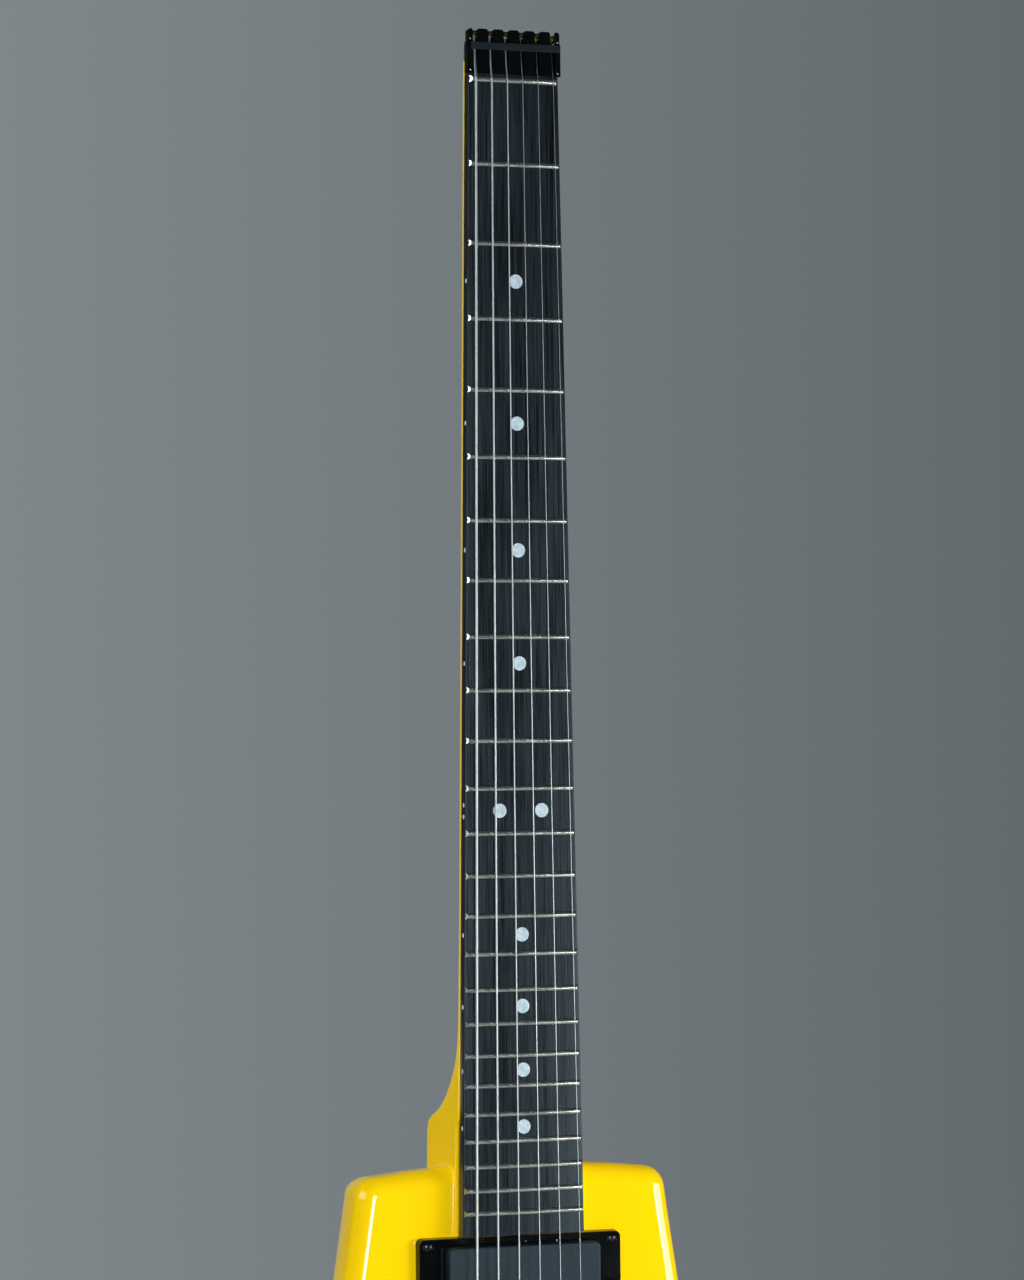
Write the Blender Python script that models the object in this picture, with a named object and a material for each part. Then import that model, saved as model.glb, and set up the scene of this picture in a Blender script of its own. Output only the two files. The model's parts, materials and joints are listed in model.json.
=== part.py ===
"""A headless electric guitar, standing upright.

X points to the treble side, the front with the strings faces -Y, and +Z runs up the neck.
The origin is on the centreline, on the flat back of the body, level with its lower end.
Dimensions are in millimetres, and meshes are made in metres through MM.
"""
import math

import bmesh
import bpy
from mathutils import Vector

MM = 0.001
GAP = 0.3

# Scale and strings
SCALE_LENGTH = 647.7
FRETS = 24
SADDLE_Z = 85.0
ZERO_FRET_Z = SADDLE_Z + SCALE_LENGTH
STRINGS = 6
STRING_GAUGES = (0.25, 0.33, 0.43, 0.66, 0.91, 1.17)
NUT_PITCH = 7.12
SADDLE_PITCH = 10.04
STRING_Y_AT_SADDLE = -55.6
BALL_RADIUS = 1.9
BALL_LENGTH = 3.2

# Fingerboard and neck
BOARD_TOP_Y = -49.0
BOARD_THICKNESS = 5.6
BOARD_UNDER_Y = BOARD_TOP_Y + BOARD_THICKNESS
BOARD_RADIUS = 355.6
BOARD_WIDTH_NUT = 41.0
BOARD_WIDTH_LAST = 55.1
BOARD_TOP_END = ZERO_FRET_Z + 2.4
BOARD_LOW_END = ZERO_FRET_Z - 495.5
FRET_WIDTH = 2.5
FRET_HEIGHT = 1.1
ZERO_FRET_HEIGHT = 1.35
NECK_TOP_Y = BOARD_UNDER_Y + GAP
NECK_TOP_END = ZERO_FRET_Z + 6.4
NECK_DEPTH_NUT = 14.0
NECK_DEPTH_HEEL = 16.4
NECK_LEDGE = 0.1
HEEL_LEDGE = 0.95
ROD_SLOT_WIDTH = 6.0
ROD_SLOT_DEPTH = 9.0

# Body
BODY_THICKNESS = 39.7
FRONT_Y = -BODY_THICKNESS
EDGE_RADIUS = 8.0
BACK_SWEEP = 9.0
SWEEP_FULL_Z = 212.0
SWEEP_NONE_Z = 184.0
SHOULDER_Z = 266.0
NECK_FILLET = 2.4
HEEL_Z = SHOULDER_Z + GAP
TAIL_HALF = 98.5
NOTCH_HALF = 42.0
NOTCH_DEPTH = 30.0
TENON_FLOOR_Y = -10.0

# Pickups
RING_SIZE = (92.6, 45.5)
RING_HEIGHT = 3.8
RING_DRAFT = 0.4
COVER_SIZE = (69.0, 38.0)
COVER_TOP_Y = -50.0
PICKUP_FLOOR_Y = -20.0
NECK_RING_Z = 236.7 - RING_SIZE[1] / 2
MIDDLE_PICKUP_Z = 174.0
MIDDLE_SIZE = (83.0, 18.0)
BRIDGE_RING_Z = 133.5

# Tremolo bridge
PIVOT_Y = -40.5
PIVOT_Z = 103.0
STUD_X = 35.5
PLATE_HALF = 40.0
PLATE_TOP_Y = -42.0
PLATE_UNDER_Y = -39.0
PLATE_TOP_END = 107.0
HOUSING_HALF = 33.5
HOUSING_Z = (31.0, 66.0)
HOUSING_FRONT_Y = -52.0
REAR_WALL = 4.0
CHANNEL_WIDTH = 8.6
TUNER_Y = -47.0
JAW_Z = (38.5, 62.0)
JAW_BALL_Z = 56.5
KNOB_Z = (8.0, 30.4)
KNOB_RADIUS = 4.7
BLOCK_Z = (84.0, 98.0)
BLOCK_HALF = 30.0
BLOCK_UNDER_Y = -8.0
SLOT_HALF = 32.5
SPRING_X = 14.0
SPRING_Y = -10.5
SPRING_RADIUS = 4.2
SPRING_WIRE = 0.7
CLAW_Z = 174.3
SOCKET_X = 36.0
SOCKET_Z = 84.0
LOCK_X = -47.0
LOCK_Z = 70.0

# Controls and small hardware
CONTROL_X = 61.0
VOLUME_Z = 120.0
TONE_Z = 82.0
SELECTOR_Z = 156.0
SELECTOR_AXIS_Y = -30.0
CONTROL_FLOOR_Y = -32.0
JACK_X = 66.0
BUTTON_X = -68.0
MID_Y = -19.0
LEG_LOW = (96.7, 30.0)
LEG_HIGH = (87.2, 142.0)
LEG_BACK_Y = -9.0
LEG_FRONT_Y = -30.0
LEG_THICKNESS = 7.0

LACQUER = ((0.98, 0.72, 0.0), 0.12, 0.0)
SLATE = ((0.03, 0.03, 0.035), 0.45, 0.0)
BRIGHT = ((0.75, 0.75, 0.72), 0.25, 1.0)
BLACK_METAL = ((0.015, 0.015, 0.017), 0.25, 1.0)
SATIN_METAL = ((0.05, 0.055, 0.06), 0.45, 1.0)
STEEL = ((0.6, 0.6, 0.6), 0.35, 1.0)
BLACK_PLASTIC = ((0.01, 0.01, 0.011), 0.15, 0.0)
MATTE_PLASTIC = ((0.035, 0.037, 0.04), 0.55, 0.0)

PLANE = {"X": (1, 2, 0), "Y": (0, 2, 1), "Z": (0, 1, 2)}


def spread(a, b, height, axis):
    """The point with plane coordinates a and b, at a height along the axis."""
    point = [0.0, 0.0, 0.0]
    for place, value in zip(PLANE[axis], (a, b, height)):
        point[place] = value
    return Vector(point)


def paint(obj, look):
    """Gives the object a material of its own."""
    colour, roughness, metallic = look
    material = bpy.data.materials.new(obj.name + "_finish")
    material.use_nodes = True
    shader = material.node_tree.nodes["Principled BSDF"]
    shader.inputs["Base Color"].default_value = (*colour, 1.0)
    shader.inputs["Roughness"].default_value = roughness
    shader.inputs["Metallic"].default_value = metallic
    obj.data.materials.append(material)


def solid(name, points, faces, look, pivot=(0.0, 0.0, 0.0)):
    """A closed mesh object, with its origin at the pivot."""
    shell = bmesh.new()
    centre = Vector(pivot)
    made = [shell.verts.new((Vector(p) - centre) * MM) for p in points]
    for face in faces:
        shell.faces.new([made[i] for i in face])
    bmesh.ops.recalc_face_normals(shell, faces=shell.faces)
    mesh = bpy.data.meshes.new(name)
    shell.to_mesh(mesh)
    shell.free()
    obj = bpy.data.objects.new(name, mesh)
    obj.location = centre * MM
    bpy.context.scene.collection.objects.link(obj)
    paint(obj, look)
    return obj


def loft(name, rings, look, pivot=(0.0, 0.0, 0.0)):
    """Skins rings of equal length, and closes both ends."""
    count = len(rings[0])
    points = [p for ring in rings for p in ring]
    faces = []
    for low in range(0, len(points) - count, count):
        for i in range(count):
            j = (i + 1) % count
            faces.append((low + i, low + j, low + count + j, low + count + i))
    faces.append(list(range(count)))
    faces.append(list(range(len(points) - count, len(points))))
    return solid(name, points, faces, look, pivot)


def prism(name, outline, axis, ends, look, pivot=(0.0, 0.0, 0.0)):
    """Extrudes a closed outline along an axis."""
    rings = [[spread(a, b, end, axis) for a, b in outline] for end in ends]
    return loft(name, rings, look, pivot)


def block(name, x, y, z, look, pivot=(0.0, 0.0, 0.0)):
    """A box between two corners."""
    outline = [(x[0], z[0]), (x[1], z[0]), (x[1], z[1]), (x[0], z[1])]
    return prism(name, outline, "Y", y, look, pivot)


def turned(name, profile, centre, axis, look, sides=16, pivot=(0.0, 0.0, 0.0)):
    """Revolves a profile of radii and heights about an axis through the centre."""
    a, b = [centre[i] for i in PLANE[axis][:2]]
    rings = []
    for radius, height in profile:
        ring = []
        for k in range(sides):
            turn = math.tau * k / sides
            ring.append(spread(a + radius * math.cos(turn), b + radius * math.sin(turn), height, axis))
        rings.append(ring)
    return loft(name, rings, look, pivot)


def tube(name, path, radius, sides, look, pivot=(0.0, 0.0, 0.0)):
    """Sweeps a round section along a path, without twist."""
    path = [Vector(p) for p in path]
    side = Vector((1.0, 0.0, 0.0))
    rings = []
    for i, point in enumerate(path):
        ahead = path[min(i + 1, len(path) - 1)] - path[max(i - 1, 0)]
        ahead.normalize()
        side = (side - ahead * side.dot(ahead)).normalized()
        up = ahead.cross(side)
        ring = []
        for k in range(sides):
            turn = math.tau * (k + 0.5) / sides
            ring.append(point + (side * math.cos(turn) + up * math.sin(turn)) * radius)
        rings.append(ring)
    return loft(name, rings, look, pivot)


def rounded(corners, steps=4):
    """The closed outline through corners (a, b, radius), with an arc at each."""
    outline = []
    for i, (a, b, radius) in enumerate(corners):
        here = Vector((a, b))
        if radius == 0:
            outline.append(here)
            continue
        back = (Vector(corners[i - 1][:2]) - here).normalized()
        ahead = (Vector(corners[(i + 1) % len(corners)][:2]) - here).normalized()
        half = back.angle(ahead) / 2
        centre = here + (back + ahead).normalized() * (radius / math.sin(half))
        start = here + back * (radius / math.tan(half)) - centre
        end = here + ahead * (radius / math.tan(half)) - centre
        for k in range(steps + 1):
            outline.append(centre + start.slerp(end, k / steps) * radius)
    return outline


def rounded_box(size, centre, radius, steps=4):
    """A rectangle of a width and a height about a centre, with round corners."""
    w, h = size[0] / 2, size[1] / 2
    a, b = centre
    signs = ((-1, -1), (1, -1), (1, 1), (-1, 1))
    return rounded([(a + sx * w, b + sz * h, radius) for sx, sz in signs], steps)


def combine(target, part, operation):
    """Adds a Boolean step to the target, and keeps the part as its guide."""
    step = target.modifiers.new(operation.lower() + "_" + part.name, "BOOLEAN")
    step.operation = operation
    step.solver = "EXACT"
    step.object = part
    part.hide_render = True
    part.display_type = "WIRE"


def cut(target, *parts):
    for part in parts:
        combine(target, part, "DIFFERENCE")


def fuse(target, *parts):
    for part in parts:
        combine(target, part, "UNION")


def soften(obj, width, segments=2, angle=40.0):
    """Rounds the sharp edges."""
    step = obj.modifiers.new("rounding", "BEVEL")
    step.width = width * MM
    step.segments = segments
    step.limit_method = "ANGLE"
    step.angle_limit = math.radians(angle)


def smooth(obj, angle=35.0):
    """Shades a round piece smooth, with its corners kept sharp."""
    obj.data.shade_smooth()
    obj.data.set_sharp_from_angle(angle=math.radians(angle))
    return obj


def hang_on(name, place, pieces):
    """An empty on a joint's axis, with the pieces that turn about it."""
    empty = bpy.data.objects.new(name, None)
    empty.location = Vector(place) * MM
    bpy.context.scene.collection.objects.link(empty)
    for piece in pieces:
        piece.parent = empty
        piece.location -= empty.location


def board_half(z):
    """Half the width of the fingerboard at a height."""
    last = ZERO_FRET_Z - fret_distance(FRETS)
    share = (ZERO_FRET_Z - z) / (ZERO_FRET_Z - last)
    return (BOARD_WIDTH_NUT + (BOARD_WIDTH_LAST - BOARD_WIDTH_NUT) * share) / 2


def neck_half(z):
    """Half the neck's width, a little more than the board's."""
    share = min(1.0, max(0.0, (360 - z) / 85))
    return board_half(z) + NECK_LEDGE + (HEEL_LEDGE - NECK_LEDGE) * share


def crown(x):
    """How far a surface at the board's radius has dropped at x."""
    return x * x / (2 * BOARD_RADIUS)


def fret_distance(number):
    """The distance of a fret from the zero fret."""
    return SCALE_LENGTH * (1 - 2 ** (-number / 12))


def string_x(number, pitch):
    """String 1 is the thinnest, on the treble side."""
    return pitch * ((STRINGS + 1) / 2 - number)


def bezier(start, first, second, end, steps):
    """Points along a cubic curve, both ends included."""
    points = []
    for k in range(steps + 1):
        t = k / steps
        weights = ((1 - t) ** 3, 3 * t * (1 - t) ** 2, 3 * t * t * (1 - t), t ** 3)
        a = sum(w * p[0] for w, p in zip(weights, (start, first, second, end)))
        b = sum(w * p[1] for w, p in zip(weights, (start, first, second, end)))
        points.append((a, b))
    return points


def body_outline():
    """Sloping shoulders, gently flared sides and round lower corners."""
    side = bezier((71.8, 246.0), (82.9, 172.0), (96.0, 100.0), (TAIL_HALF, 30.0), 9)
    half = [(27.0, SHOULDER_Z, 0), (48.0, 264.4, 0), (69.6, 262.1, 10.0)]
    half += [(x, z, 0) for x, z in side]
    half += [(TAIL_HALF, 0.0, 18.0)]
    mirrored = [(-x, z, radius) for x, z, radius in reversed(half)]
    return rounded(half + mirrored, 5)


def inset(outline, amounts):
    """The outline moved inward, at each point by its own amount."""
    moved = []
    for i, amount in enumerate(amounts):
        here = Vector(outline[i])
        back = (here - Vector(outline[i - 1])).normalized()
        ahead = (Vector(outline[(i + 1) % len(outline)]) - here).normalized()
        out = Vector((-back.y - ahead.y, back.x + ahead.x)) / (1 + back.dot(ahead))
        moved.append(here - out * amount)
    return moved


def back_inset(y, z):
    """How far the back edge has come in. It is a long sweep by the shoulders, and a plain round below."""
    share = min(1.0, max(0.0, (z - SWEEP_NONE_Z) / (SWEEP_FULL_Z - SWEEP_NONE_Z)))
    share = share * share * (3 - 2 * share)
    length = BODY_THICKNESS - EDGE_RADIUS
    sweep = BACK_SWEEP * (1 - math.sqrt(1 - ((y + length) / length) ** 2))
    plain = EDGE_RADIUS * (1 - math.sqrt(1 - max(0.0, (y + EDGE_RADIUS) / EDGE_RADIUS) ** 2))
    return plain + (sweep - plain) * share


def body_rings():
    """Outlines from the front to the back, each inset as the rounded edges need."""
    outline = body_outline()
    rings = []
    for k in range(4):
        turn = math.pi / 6 * k
        y = FRONT_Y + EDGE_RADIUS * (1 - math.cos(turn))
        around = inset(outline, [EDGE_RADIUS * (1 - math.sin(turn))] * len(outline))
        rings.append([(x, y, z) for x, z in around])
    for y in (-24.0, -16.0, -8.0, -4.0, -1.1, 0.0):
        around = inset(outline, [back_inset(y, z) for x, z in outline])
        rings.append([(x, y, z) for x, z in around])
    return rings


def body_cutters():
    """Everything that is routed or drilled in the body."""
    yield prism("notch", notch_outline(), "Y", (-60, 20), LACQUER)
    yield block("bridge_recess", (-42.4, 42.4), (-60, -25), (-10, 97), LACQUER)
    yield block("plate_recess", (-42.4, 42.4), (-60, PLATE_UNDER_Y + 1), (90, PLATE_TOP_END + 2), LACQUER)
    yield block("block_slot", (-SLOT_HALF, SLOT_HALF), (-60, 20), (74, 107), LACQUER)
    yield block("spring_cavity", (-SLOT_HALF, SLOT_HALF), (-17, 20), (72, 190), LACQUER)
    recess = rounded_box((72.6, 126.6), (0, 131), 6)
    yield prism("spring_cover_recess", recess, "Y", (-2.5, 20), LACQUER)
    yield block("control_cavity", (50, 72), (CONTROL_FLOOR_Y, 20), (44, 176), LACQUER)
    recess = rounded_box((28.6, 138.6), (61, 110), 5)
    yield prism("control_cover_recess", recess, "Y", (-2.5, 20), LACQUER)
    for label, z in (("neck", NECK_RING_Z), ("bridge", BRIDGE_RING_Z)):
        route = rounded_box((72, 39), (0, z), 3)
        yield prism(label + "_pickup_route", route, "Y", (-60, PICKUP_FLOOR_Y), LACQUER)
    route = rounded_box((84.4, 19.4), (0, MIDDLE_PICKUP_Z), 8.9, 6)
    yield prism("middle_pickup_route", route, "Y", (-60, PICKUP_FLOOR_Y), LACQUER)
    for side in (-1, 1):
        profile = [(5.3, -60), (5.3, -17)]
        yield turned(f"stud_hole_{side}", profile, (side * STUD_X, 0, PIVOT_Z), "Y", LACQUER, 12)
        profile = [(2.1, 180), (2.1, 206)]
        yield turned(f"claw_screw_hole_{side}", profile, (side * 9, -10, 0), "Z", LACQUER, 8)
    for label, z in (("volume", VOLUME_Z), ("tone", TONE_Z)):
        profile = [(4.6, -60), (4.6, -20)]
        yield turned(label + "_hole", profile, (CONTROL_X, 0, z), "Y", LACQUER, 12)
    yield block("selector_slot", (59.4, 62.6), (-60, -20), (SELECTOR_Z - 9, SELECTOR_Z + 9), LACQUER)
    profile = [(8.5, -20), (8.5, 60)]
    yield turned("jack_hole", profile, (JACK_X, MID_Y, 0), "Z", LACQUER, 16)
    profile = [(2.3, -60), (2.3, -24)]
    yield turned("lock_hole", profile, (LOCK_X, 0, LOCK_Z), "Y", LACQUER, 10)
    yield neck_pocket()
    yield leg_recess()
    yield leg_pin("leg_pin_hole", 1.9, 6.5)


def notch_outline():
    """The open bay for the tuner knobs, with round inner corners and flared lips."""
    lip = 6.0
    half = [(NOTCH_HALF + lip, -20, 0), (NOTCH_HALF + lip, 0, 0), (NOTCH_HALF, 0, lip)]
    half += [(NOTCH_HALF, NOTCH_DEPTH, 6.0)]
    mirrored = [(-x, z, radius) for x, z, radius in reversed(half)]
    return rounded(half + mirrored)


def neck_pocket():
    """The tapered pocket that the neck's tenon is glued into."""
    rings = []
    for z in (BOARD_LOW_END - 5.0, SHOULDER_Z + 5.0):
        w = board_half(z) + GAP
        ring = [(-w, -60, z), (w, -60, z), (w, TENON_FLOOR_Y, z), (-w, TENON_FLOOR_Y, z)]
        rings.append(ring)
    return loft("neck_pocket", rings, LACQUER)


def neck_fillet(side):
    """The ledge beside the board, with a concave fillet that leads to the body's front."""
    radius = NECK_FILLET
    wall = neck_half(BOARD_LOW_END)
    profile = [(24.0, FRONT_Y + 3), (24.0, NECK_TOP_Y), (wall, NECK_TOP_Y)]
    for k in range(5):
        turn = math.pi / 2 * (1 - k / 4)
        x = wall + radius * (1 - math.sin(turn))
        profile.append((x, FRONT_Y - radius * (1 - math.cos(turn))))
    profile.append((wall + radius, FRONT_Y + 3))
    outline = [(side * x, y) for x, y in profile]
    return prism(f"neck_fillet_{side}", outline, "Z", (BOARD_LOW_END, SHOULDER_Z - EDGE_RADIUS), LACQUER)


def build_body():
    body = loft("body", body_rings(), LACQUER)
    half = neck_half(SHOULDER_Z)
    seat = block("heel_seat", (-half, half), (TENON_FLOOR_Y - 1, 0), (240, SHOULDER_Z), LACQUER)
    fuse(body, seat, neck_fillet(-1), neck_fillet(1))
    cut(body, *body_cutters())
    smooth(body)


def heel_stations():
    """Height, depth and squareness of the neck, from the headpiece to the heel's foot."""
    zero = ZERO_FRET_Z
    middle = (NECK_DEPTH_NUT + NECK_DEPTH_HEEL) / 2
    yield NECK_TOP_END, NECK_DEPTH_NUT, 0.0
    yield zero - 200, middle, 0.0
    yield zero - 390, NECK_DEPTH_HEEL, 0.0
    yield zero - 412, NECK_DEPTH_HEEL + 0.5, 0.05
    yield zero - 421, 17.8, 0.15
    yield zero - 429, 19.6, 0.3
    yield zero - 436, 23.0, 0.5
    yield zero - 441, 27.0, 0.7
    yield zero - 444.5, 32.0, 0.85
    yield zero - 447, 37.5, 0.95
    yield zero - 450, 41.5, 1.0
    yield zero - 454, -NECK_TOP_Y, 1.0
    yield HEEL_Z, -NECK_TOP_Y, 1.0


def neck_section(z, depth, squareness):
    """A half oval that turns into a rounded square as the heel grows."""
    half = neck_half(z)
    corner = 3.8
    oval = []
    square = []
    steps = 14
    for k in range(steps + 1):
        turn = math.pi * k / steps
        oval.append((half * math.cos(turn), depth * math.sin(turn)))
    arcs = ((half - corner, 0.0), (corner - half, math.pi / 2))
    square.append((half, 0.0))
    square.append((half, (depth - corner) * 0.5))
    for centre, first in arcs:
        for k in range(5):
            turn = first + math.pi / 2 * k / 4
            square.append((centre + corner * math.cos(turn), depth - corner + corner * math.sin(turn)))
    square.insert(7, (0.0, depth))
    square.append((-half, (depth - corner) * 0.5))
    square.append((-half, 0.0))
    ring = []
    for (ox, oy), (sx, sy) in zip(oval, square):
        x = ox + (sx - ox) * squareness
        y = oy + (sy - oy) * squareness
        ring.append((x, NECK_TOP_Y + y, z))
    return ring


def build_neck():
    rings = [neck_section(*station) for station in heel_stations()]
    neck = loft("neck", rings, LACQUER)
    tenon = []
    for z in (BOARD_LOW_END, HEEL_Z + 10):
        w = board_half(z)
        floor = TENON_FLOOR_Y - GAP
        tenon.append([(-w, NECK_TOP_Y, z), (w, NECK_TOP_Y, z), (w, floor, z), (-w, floor, z)])
    fuse(neck, loft("tenon", tenon, LACQUER))
    slot = (-ROD_SLOT_WIDTH / 2, ROD_SLOT_WIDTH / 2)
    depth = (NECK_TOP_Y - 5, NECK_TOP_Y + ROD_SLOT_DEPTH)
    cut(neck, block("rod_slot", slot, depth, (BOARD_LOW_END - 5, ZERO_FRET_Z - 12), LACQUER))
    nut_room = turned("rod_nut_room", [(5.5, 230), (5.5, 249)], (0, NECK_TOP_Y + 5.6, 0), "Z", LACQUER, 12)
    cut(neck, nut_room)
    smooth(neck, 50)


def build_truss_rod():
    x = ROD_SLOT_WIDTH / 2 - GAP
    y = (NECK_TOP_Y + GAP, NECK_TOP_Y + ROD_SLOT_DEPTH - GAP)
    rod = block("truss_rod", (-x, x), y, (246, ZERO_FRET_Z - 13), STEEL)
    centre = (0, NECK_TOP_Y + 5.6, 0)
    fuse(rod, turned("rod_nut", [(4.0, 239), (4.0, 247)], centre, "Z", STEEL, 6))


def arched(half, low_y, z, rise, steps=6):
    """A section at one height: a flat or arched underside and an arched top."""
    top = []
    for k in range(steps + 1):
        x = half * (2 * k / steps - 1)
        top.append((x, BOARD_TOP_Y - rise + crown(x), z))
    if low_y is None:
        under = [(x, y + rise - GAP, z) for x, y, _ in reversed(top)]
    else:
        under = [(half, low_y, z), (-half, low_y, z)]
    return top + under


def fret_rings(z, half, height, width, rise):
    """Sections of one fret wire from its upper flank to its lower one, with sloped ends."""
    for share, lift in ((-0.5, 0.0), (-0.22, 1.0), (0.22, 1.0), (0.5, 0.0)):
        ring = []
        reach = half - 0.9 * lift
        steps = 6
        for k in range(steps + 1):
            x = reach * (2 * k / steps - 1)
            y = BOARD_TOP_Y + crown(x) - rise - height * lift
            ring.append((x, y, z + width * share))
        for k in range(steps, -1, -1):
            x = (half - 0.1) * (2 * k / steps - 1)
            ring.append((x, BOARD_TOP_Y + crown(x) + 0.4 - 2 * rise, z + width * share))
        yield ring


def build_fingerboard():
    rings = [arched(board_half(z), BOARD_UNDER_Y, z, 0.0) for z in (BOARD_LOW_END, BOARD_TOP_END)]
    board = loft("fingerboard", rings, SLATE)
    for number in range(1, FRETS + 1):
        z = ZERO_FRET_Z - fret_distance(number)
        rings = list(fret_rings(z, board_half(z) - 0.3, FRET_HEIGHT, FRET_WIDTH, 0.0))
        fuse(board, loft(f"fret_{number}", rings, BRIGHT))


def build_zero_fret():
    half = board_half(ZERO_FRET_Z) - 0.3
    rings = list(fret_rings(ZERO_FRET_Z, half, ZERO_FRET_HEIGHT - GAP, 2.8, GAP))
    loft("zero_fret", rings, BRIGHT)


def build_headpiece():
    """The block that anchors the strings at the neck's end, with six T-slots."""
    front, back = -49.4, -31.0
    low, high = BOARD_TOP_END + GAP, ZERO_FRET_Z + 21.7
    outline = rounded([(-21.4, low, 0), (21.4, low, 0), (21.4, high, 3), (-21.4, high, 3)])
    head = prism("headpiece", outline, "Y", (BOARD_UNDER_Y, front), BLACK_METAL)
    foot = [(back, NECK_TOP_END + GAP), (back, high - 6.5), (back - 3, high - 3)]
    foot += [(BOARD_UNDER_Y - 1, high - 3), (BOARD_UNDER_Y - 1, NECK_TOP_END + GAP)]
    fuse(head, prism("headpiece_foot", foot, "X", (-20.2, 20.2), BLACK_METAL))
    for number in range(1, STRINGS + 1):
        x = string_x(number, NUT_PITCH)
        slit = block(f"slit_{number}", (x - 1.0, x + 1.0), (-60, -46.2), (low - 5, high + 5), BLACK_METAL)
        y = (-48.7, -44.1)
        room = block(f"ball_room_{number}", (x - 2.2, x + 2.2), y, (749.2, high + 5), BLACK_METAL)
        cut(head, slit, room)
    bar = block("headpiece_clamp", (-20.9, 20.9), (-51.2, front - GAP), (745.3, 748.5), SATIN_METAL)
    soften(bar, 0.5, 1)


def build_string(number):
    """One string with its ball ends, from the headpiece to its jaw."""
    gauge = STRING_GAUGES[number - 1]
    radius = gauge / 2
    nut_x = string_x(number, NUT_PITCH)
    saddle_x = string_x(number, SADDLE_PITCH)
    nut_y = BOARD_TOP_Y - ZERO_FRET_HEIGHT - GAP - radius + crown(nut_x)
    saddle_y = STRING_Y_AT_SADDLE + crown(saddle_x)
    path = [(nut_x, -46.9, 751.6), (nut_x, nut_y, ZERO_FRET_Z), (saddle_x, saddle_y, SADDLE_Z)]
    path += [(saddle_x, TUNER_Y, JAW_BALL_Z)]
    string = tube(f"string_{number}", path, radius, 6, STEEL)
    for label, x, y, z in (("head", nut_x, -46.4, 751.6), ("jaw", saddle_x, TUNER_Y, JAW_BALL_Z)):
        half = BALL_LENGTH / 2
        profile = [(BALL_RADIUS, x - half), (BALL_RADIUS, x + half)]
        ball = turned(f"{label}_ball_{number}", profile, (0, y, z), "X", BRIGHT, 10)
        fuse(string, ball)


def build_pickup_ring(name, z):
    """A drafted frame around a pickup."""
    rings = []
    for inset, y in ((0.0, FRONT_Y - GAP), (RING_DRAFT, FRONT_Y - GAP - RING_HEIGHT)):
        size = (RING_SIZE[0] - 2 * inset, RING_SIZE[1] - 2 * inset)
        rings.append([(a, y, b) for a, b in rounded_box(size, (0, z), 2.5)])
    ring = loft(name, rings, BLACK_PLASTIC)
    window = rounded_box((COVER_SIZE[0] + 1.4, COVER_SIZE[1] + 1.4), (0, z), 2.5)
    cut(ring, prism(name + "_window", window, "Y", (-60, -20), BLACK_PLASTIC))


def build_pickup(name, size, z, radius):
    outline = rounded_box(size, (0, z), radius, 6)
    pickup = prism(name, outline, "Y", (PICKUP_FLOOR_Y - 1, COVER_TOP_Y), MATTE_PLASTIC)
    soften(pickup, 1.0, 2)


def build_plate():
    """The base plate with its two pivot forks and the housing for the jaws."""
    corners = [(-PLATE_HALF, 31, 3), (PLATE_HALF, 31, 3)]
    corners += [(PLATE_HALF, PLATE_TOP_END, 3), (-PLATE_HALF, PLATE_TOP_END, 3)]
    plate = prism("bridge_base", rounded(corners), "Y", (PLATE_UNDER_Y, PLATE_TOP_Y), BLACK_METAL)
    x = (-HOUSING_HALF, HOUSING_HALF)
    fuse(plate, block("tuner_housing", x, (HOUSING_FRONT_Y, PLATE_UNDER_Y - 1), HOUSING_Z, BLACK_METAL))
    for side in (-1, 1):
        x = side * STUD_X
        corners = [(x - 3.6, PIVOT_Z - 3.6, 3), (x + 3.6, PIVOT_Z - 3.6, 3), (x + 3.6, 115, 0), (x - 3.6, 115, 0)]
        cut(plate, prism(f"fork_{side}", rounded(corners, 2), "Y", (-60, -20), BLACK_METAL))
    for number in range(1, STRINGS + 1):
        x = string_x(number, SADDLE_PITCH)
        sides = (x - CHANNEL_WIDTH / 2, x + CHANNEL_WIDTH / 2)
        z = (HOUSING_Z[0] + REAR_WALL, HOUSING_Z[1] + 5)
        profile = [(2.4, HOUSING_Z[0] - 5), (2.4, HOUSING_Z[1])]
        channel = block(f"channel_{number}", sides, (-60, PLATE_TOP_Y - 0.8), z, BLACK_METAL)
        hole = turned(f"shank_hole_{number}", profile, (x, TUNER_Y, 0), "Z", BLACK_METAL, 10)
        cut(plate, channel, hole)
    return plate


def build_saddle(number):
    """A wedge with a crest under the string, a screw slot and a string groove."""
    x = string_x(number, SADDLE_PITCH)
    radius = STRING_GAUGES[number - 1] / 2
    crest = STRING_Y_AT_SADDLE + crown(x) + radius + GAP
    foot = PLATE_TOP_Y - GAP
    profile = [(foot, 73), (foot, 97), (foot - 4, 97), (crest + 0.8, 88), (crest, 85)]
    profile += [(crest + 0.9, 81), (foot - 6, 73)]
    saddle = prism(f"saddle_{number}", profile, "X", (x - 4.8, x + 4.8), BLACK_METAL)
    slot = rounded_box((3.4, 9), (x, 91.5), 1.6, 2)
    cut(saddle, prism(f"saddle_slot_{number}", slot, "Y", (-60, -30), BLACK_METAL))
    return saddle


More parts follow.
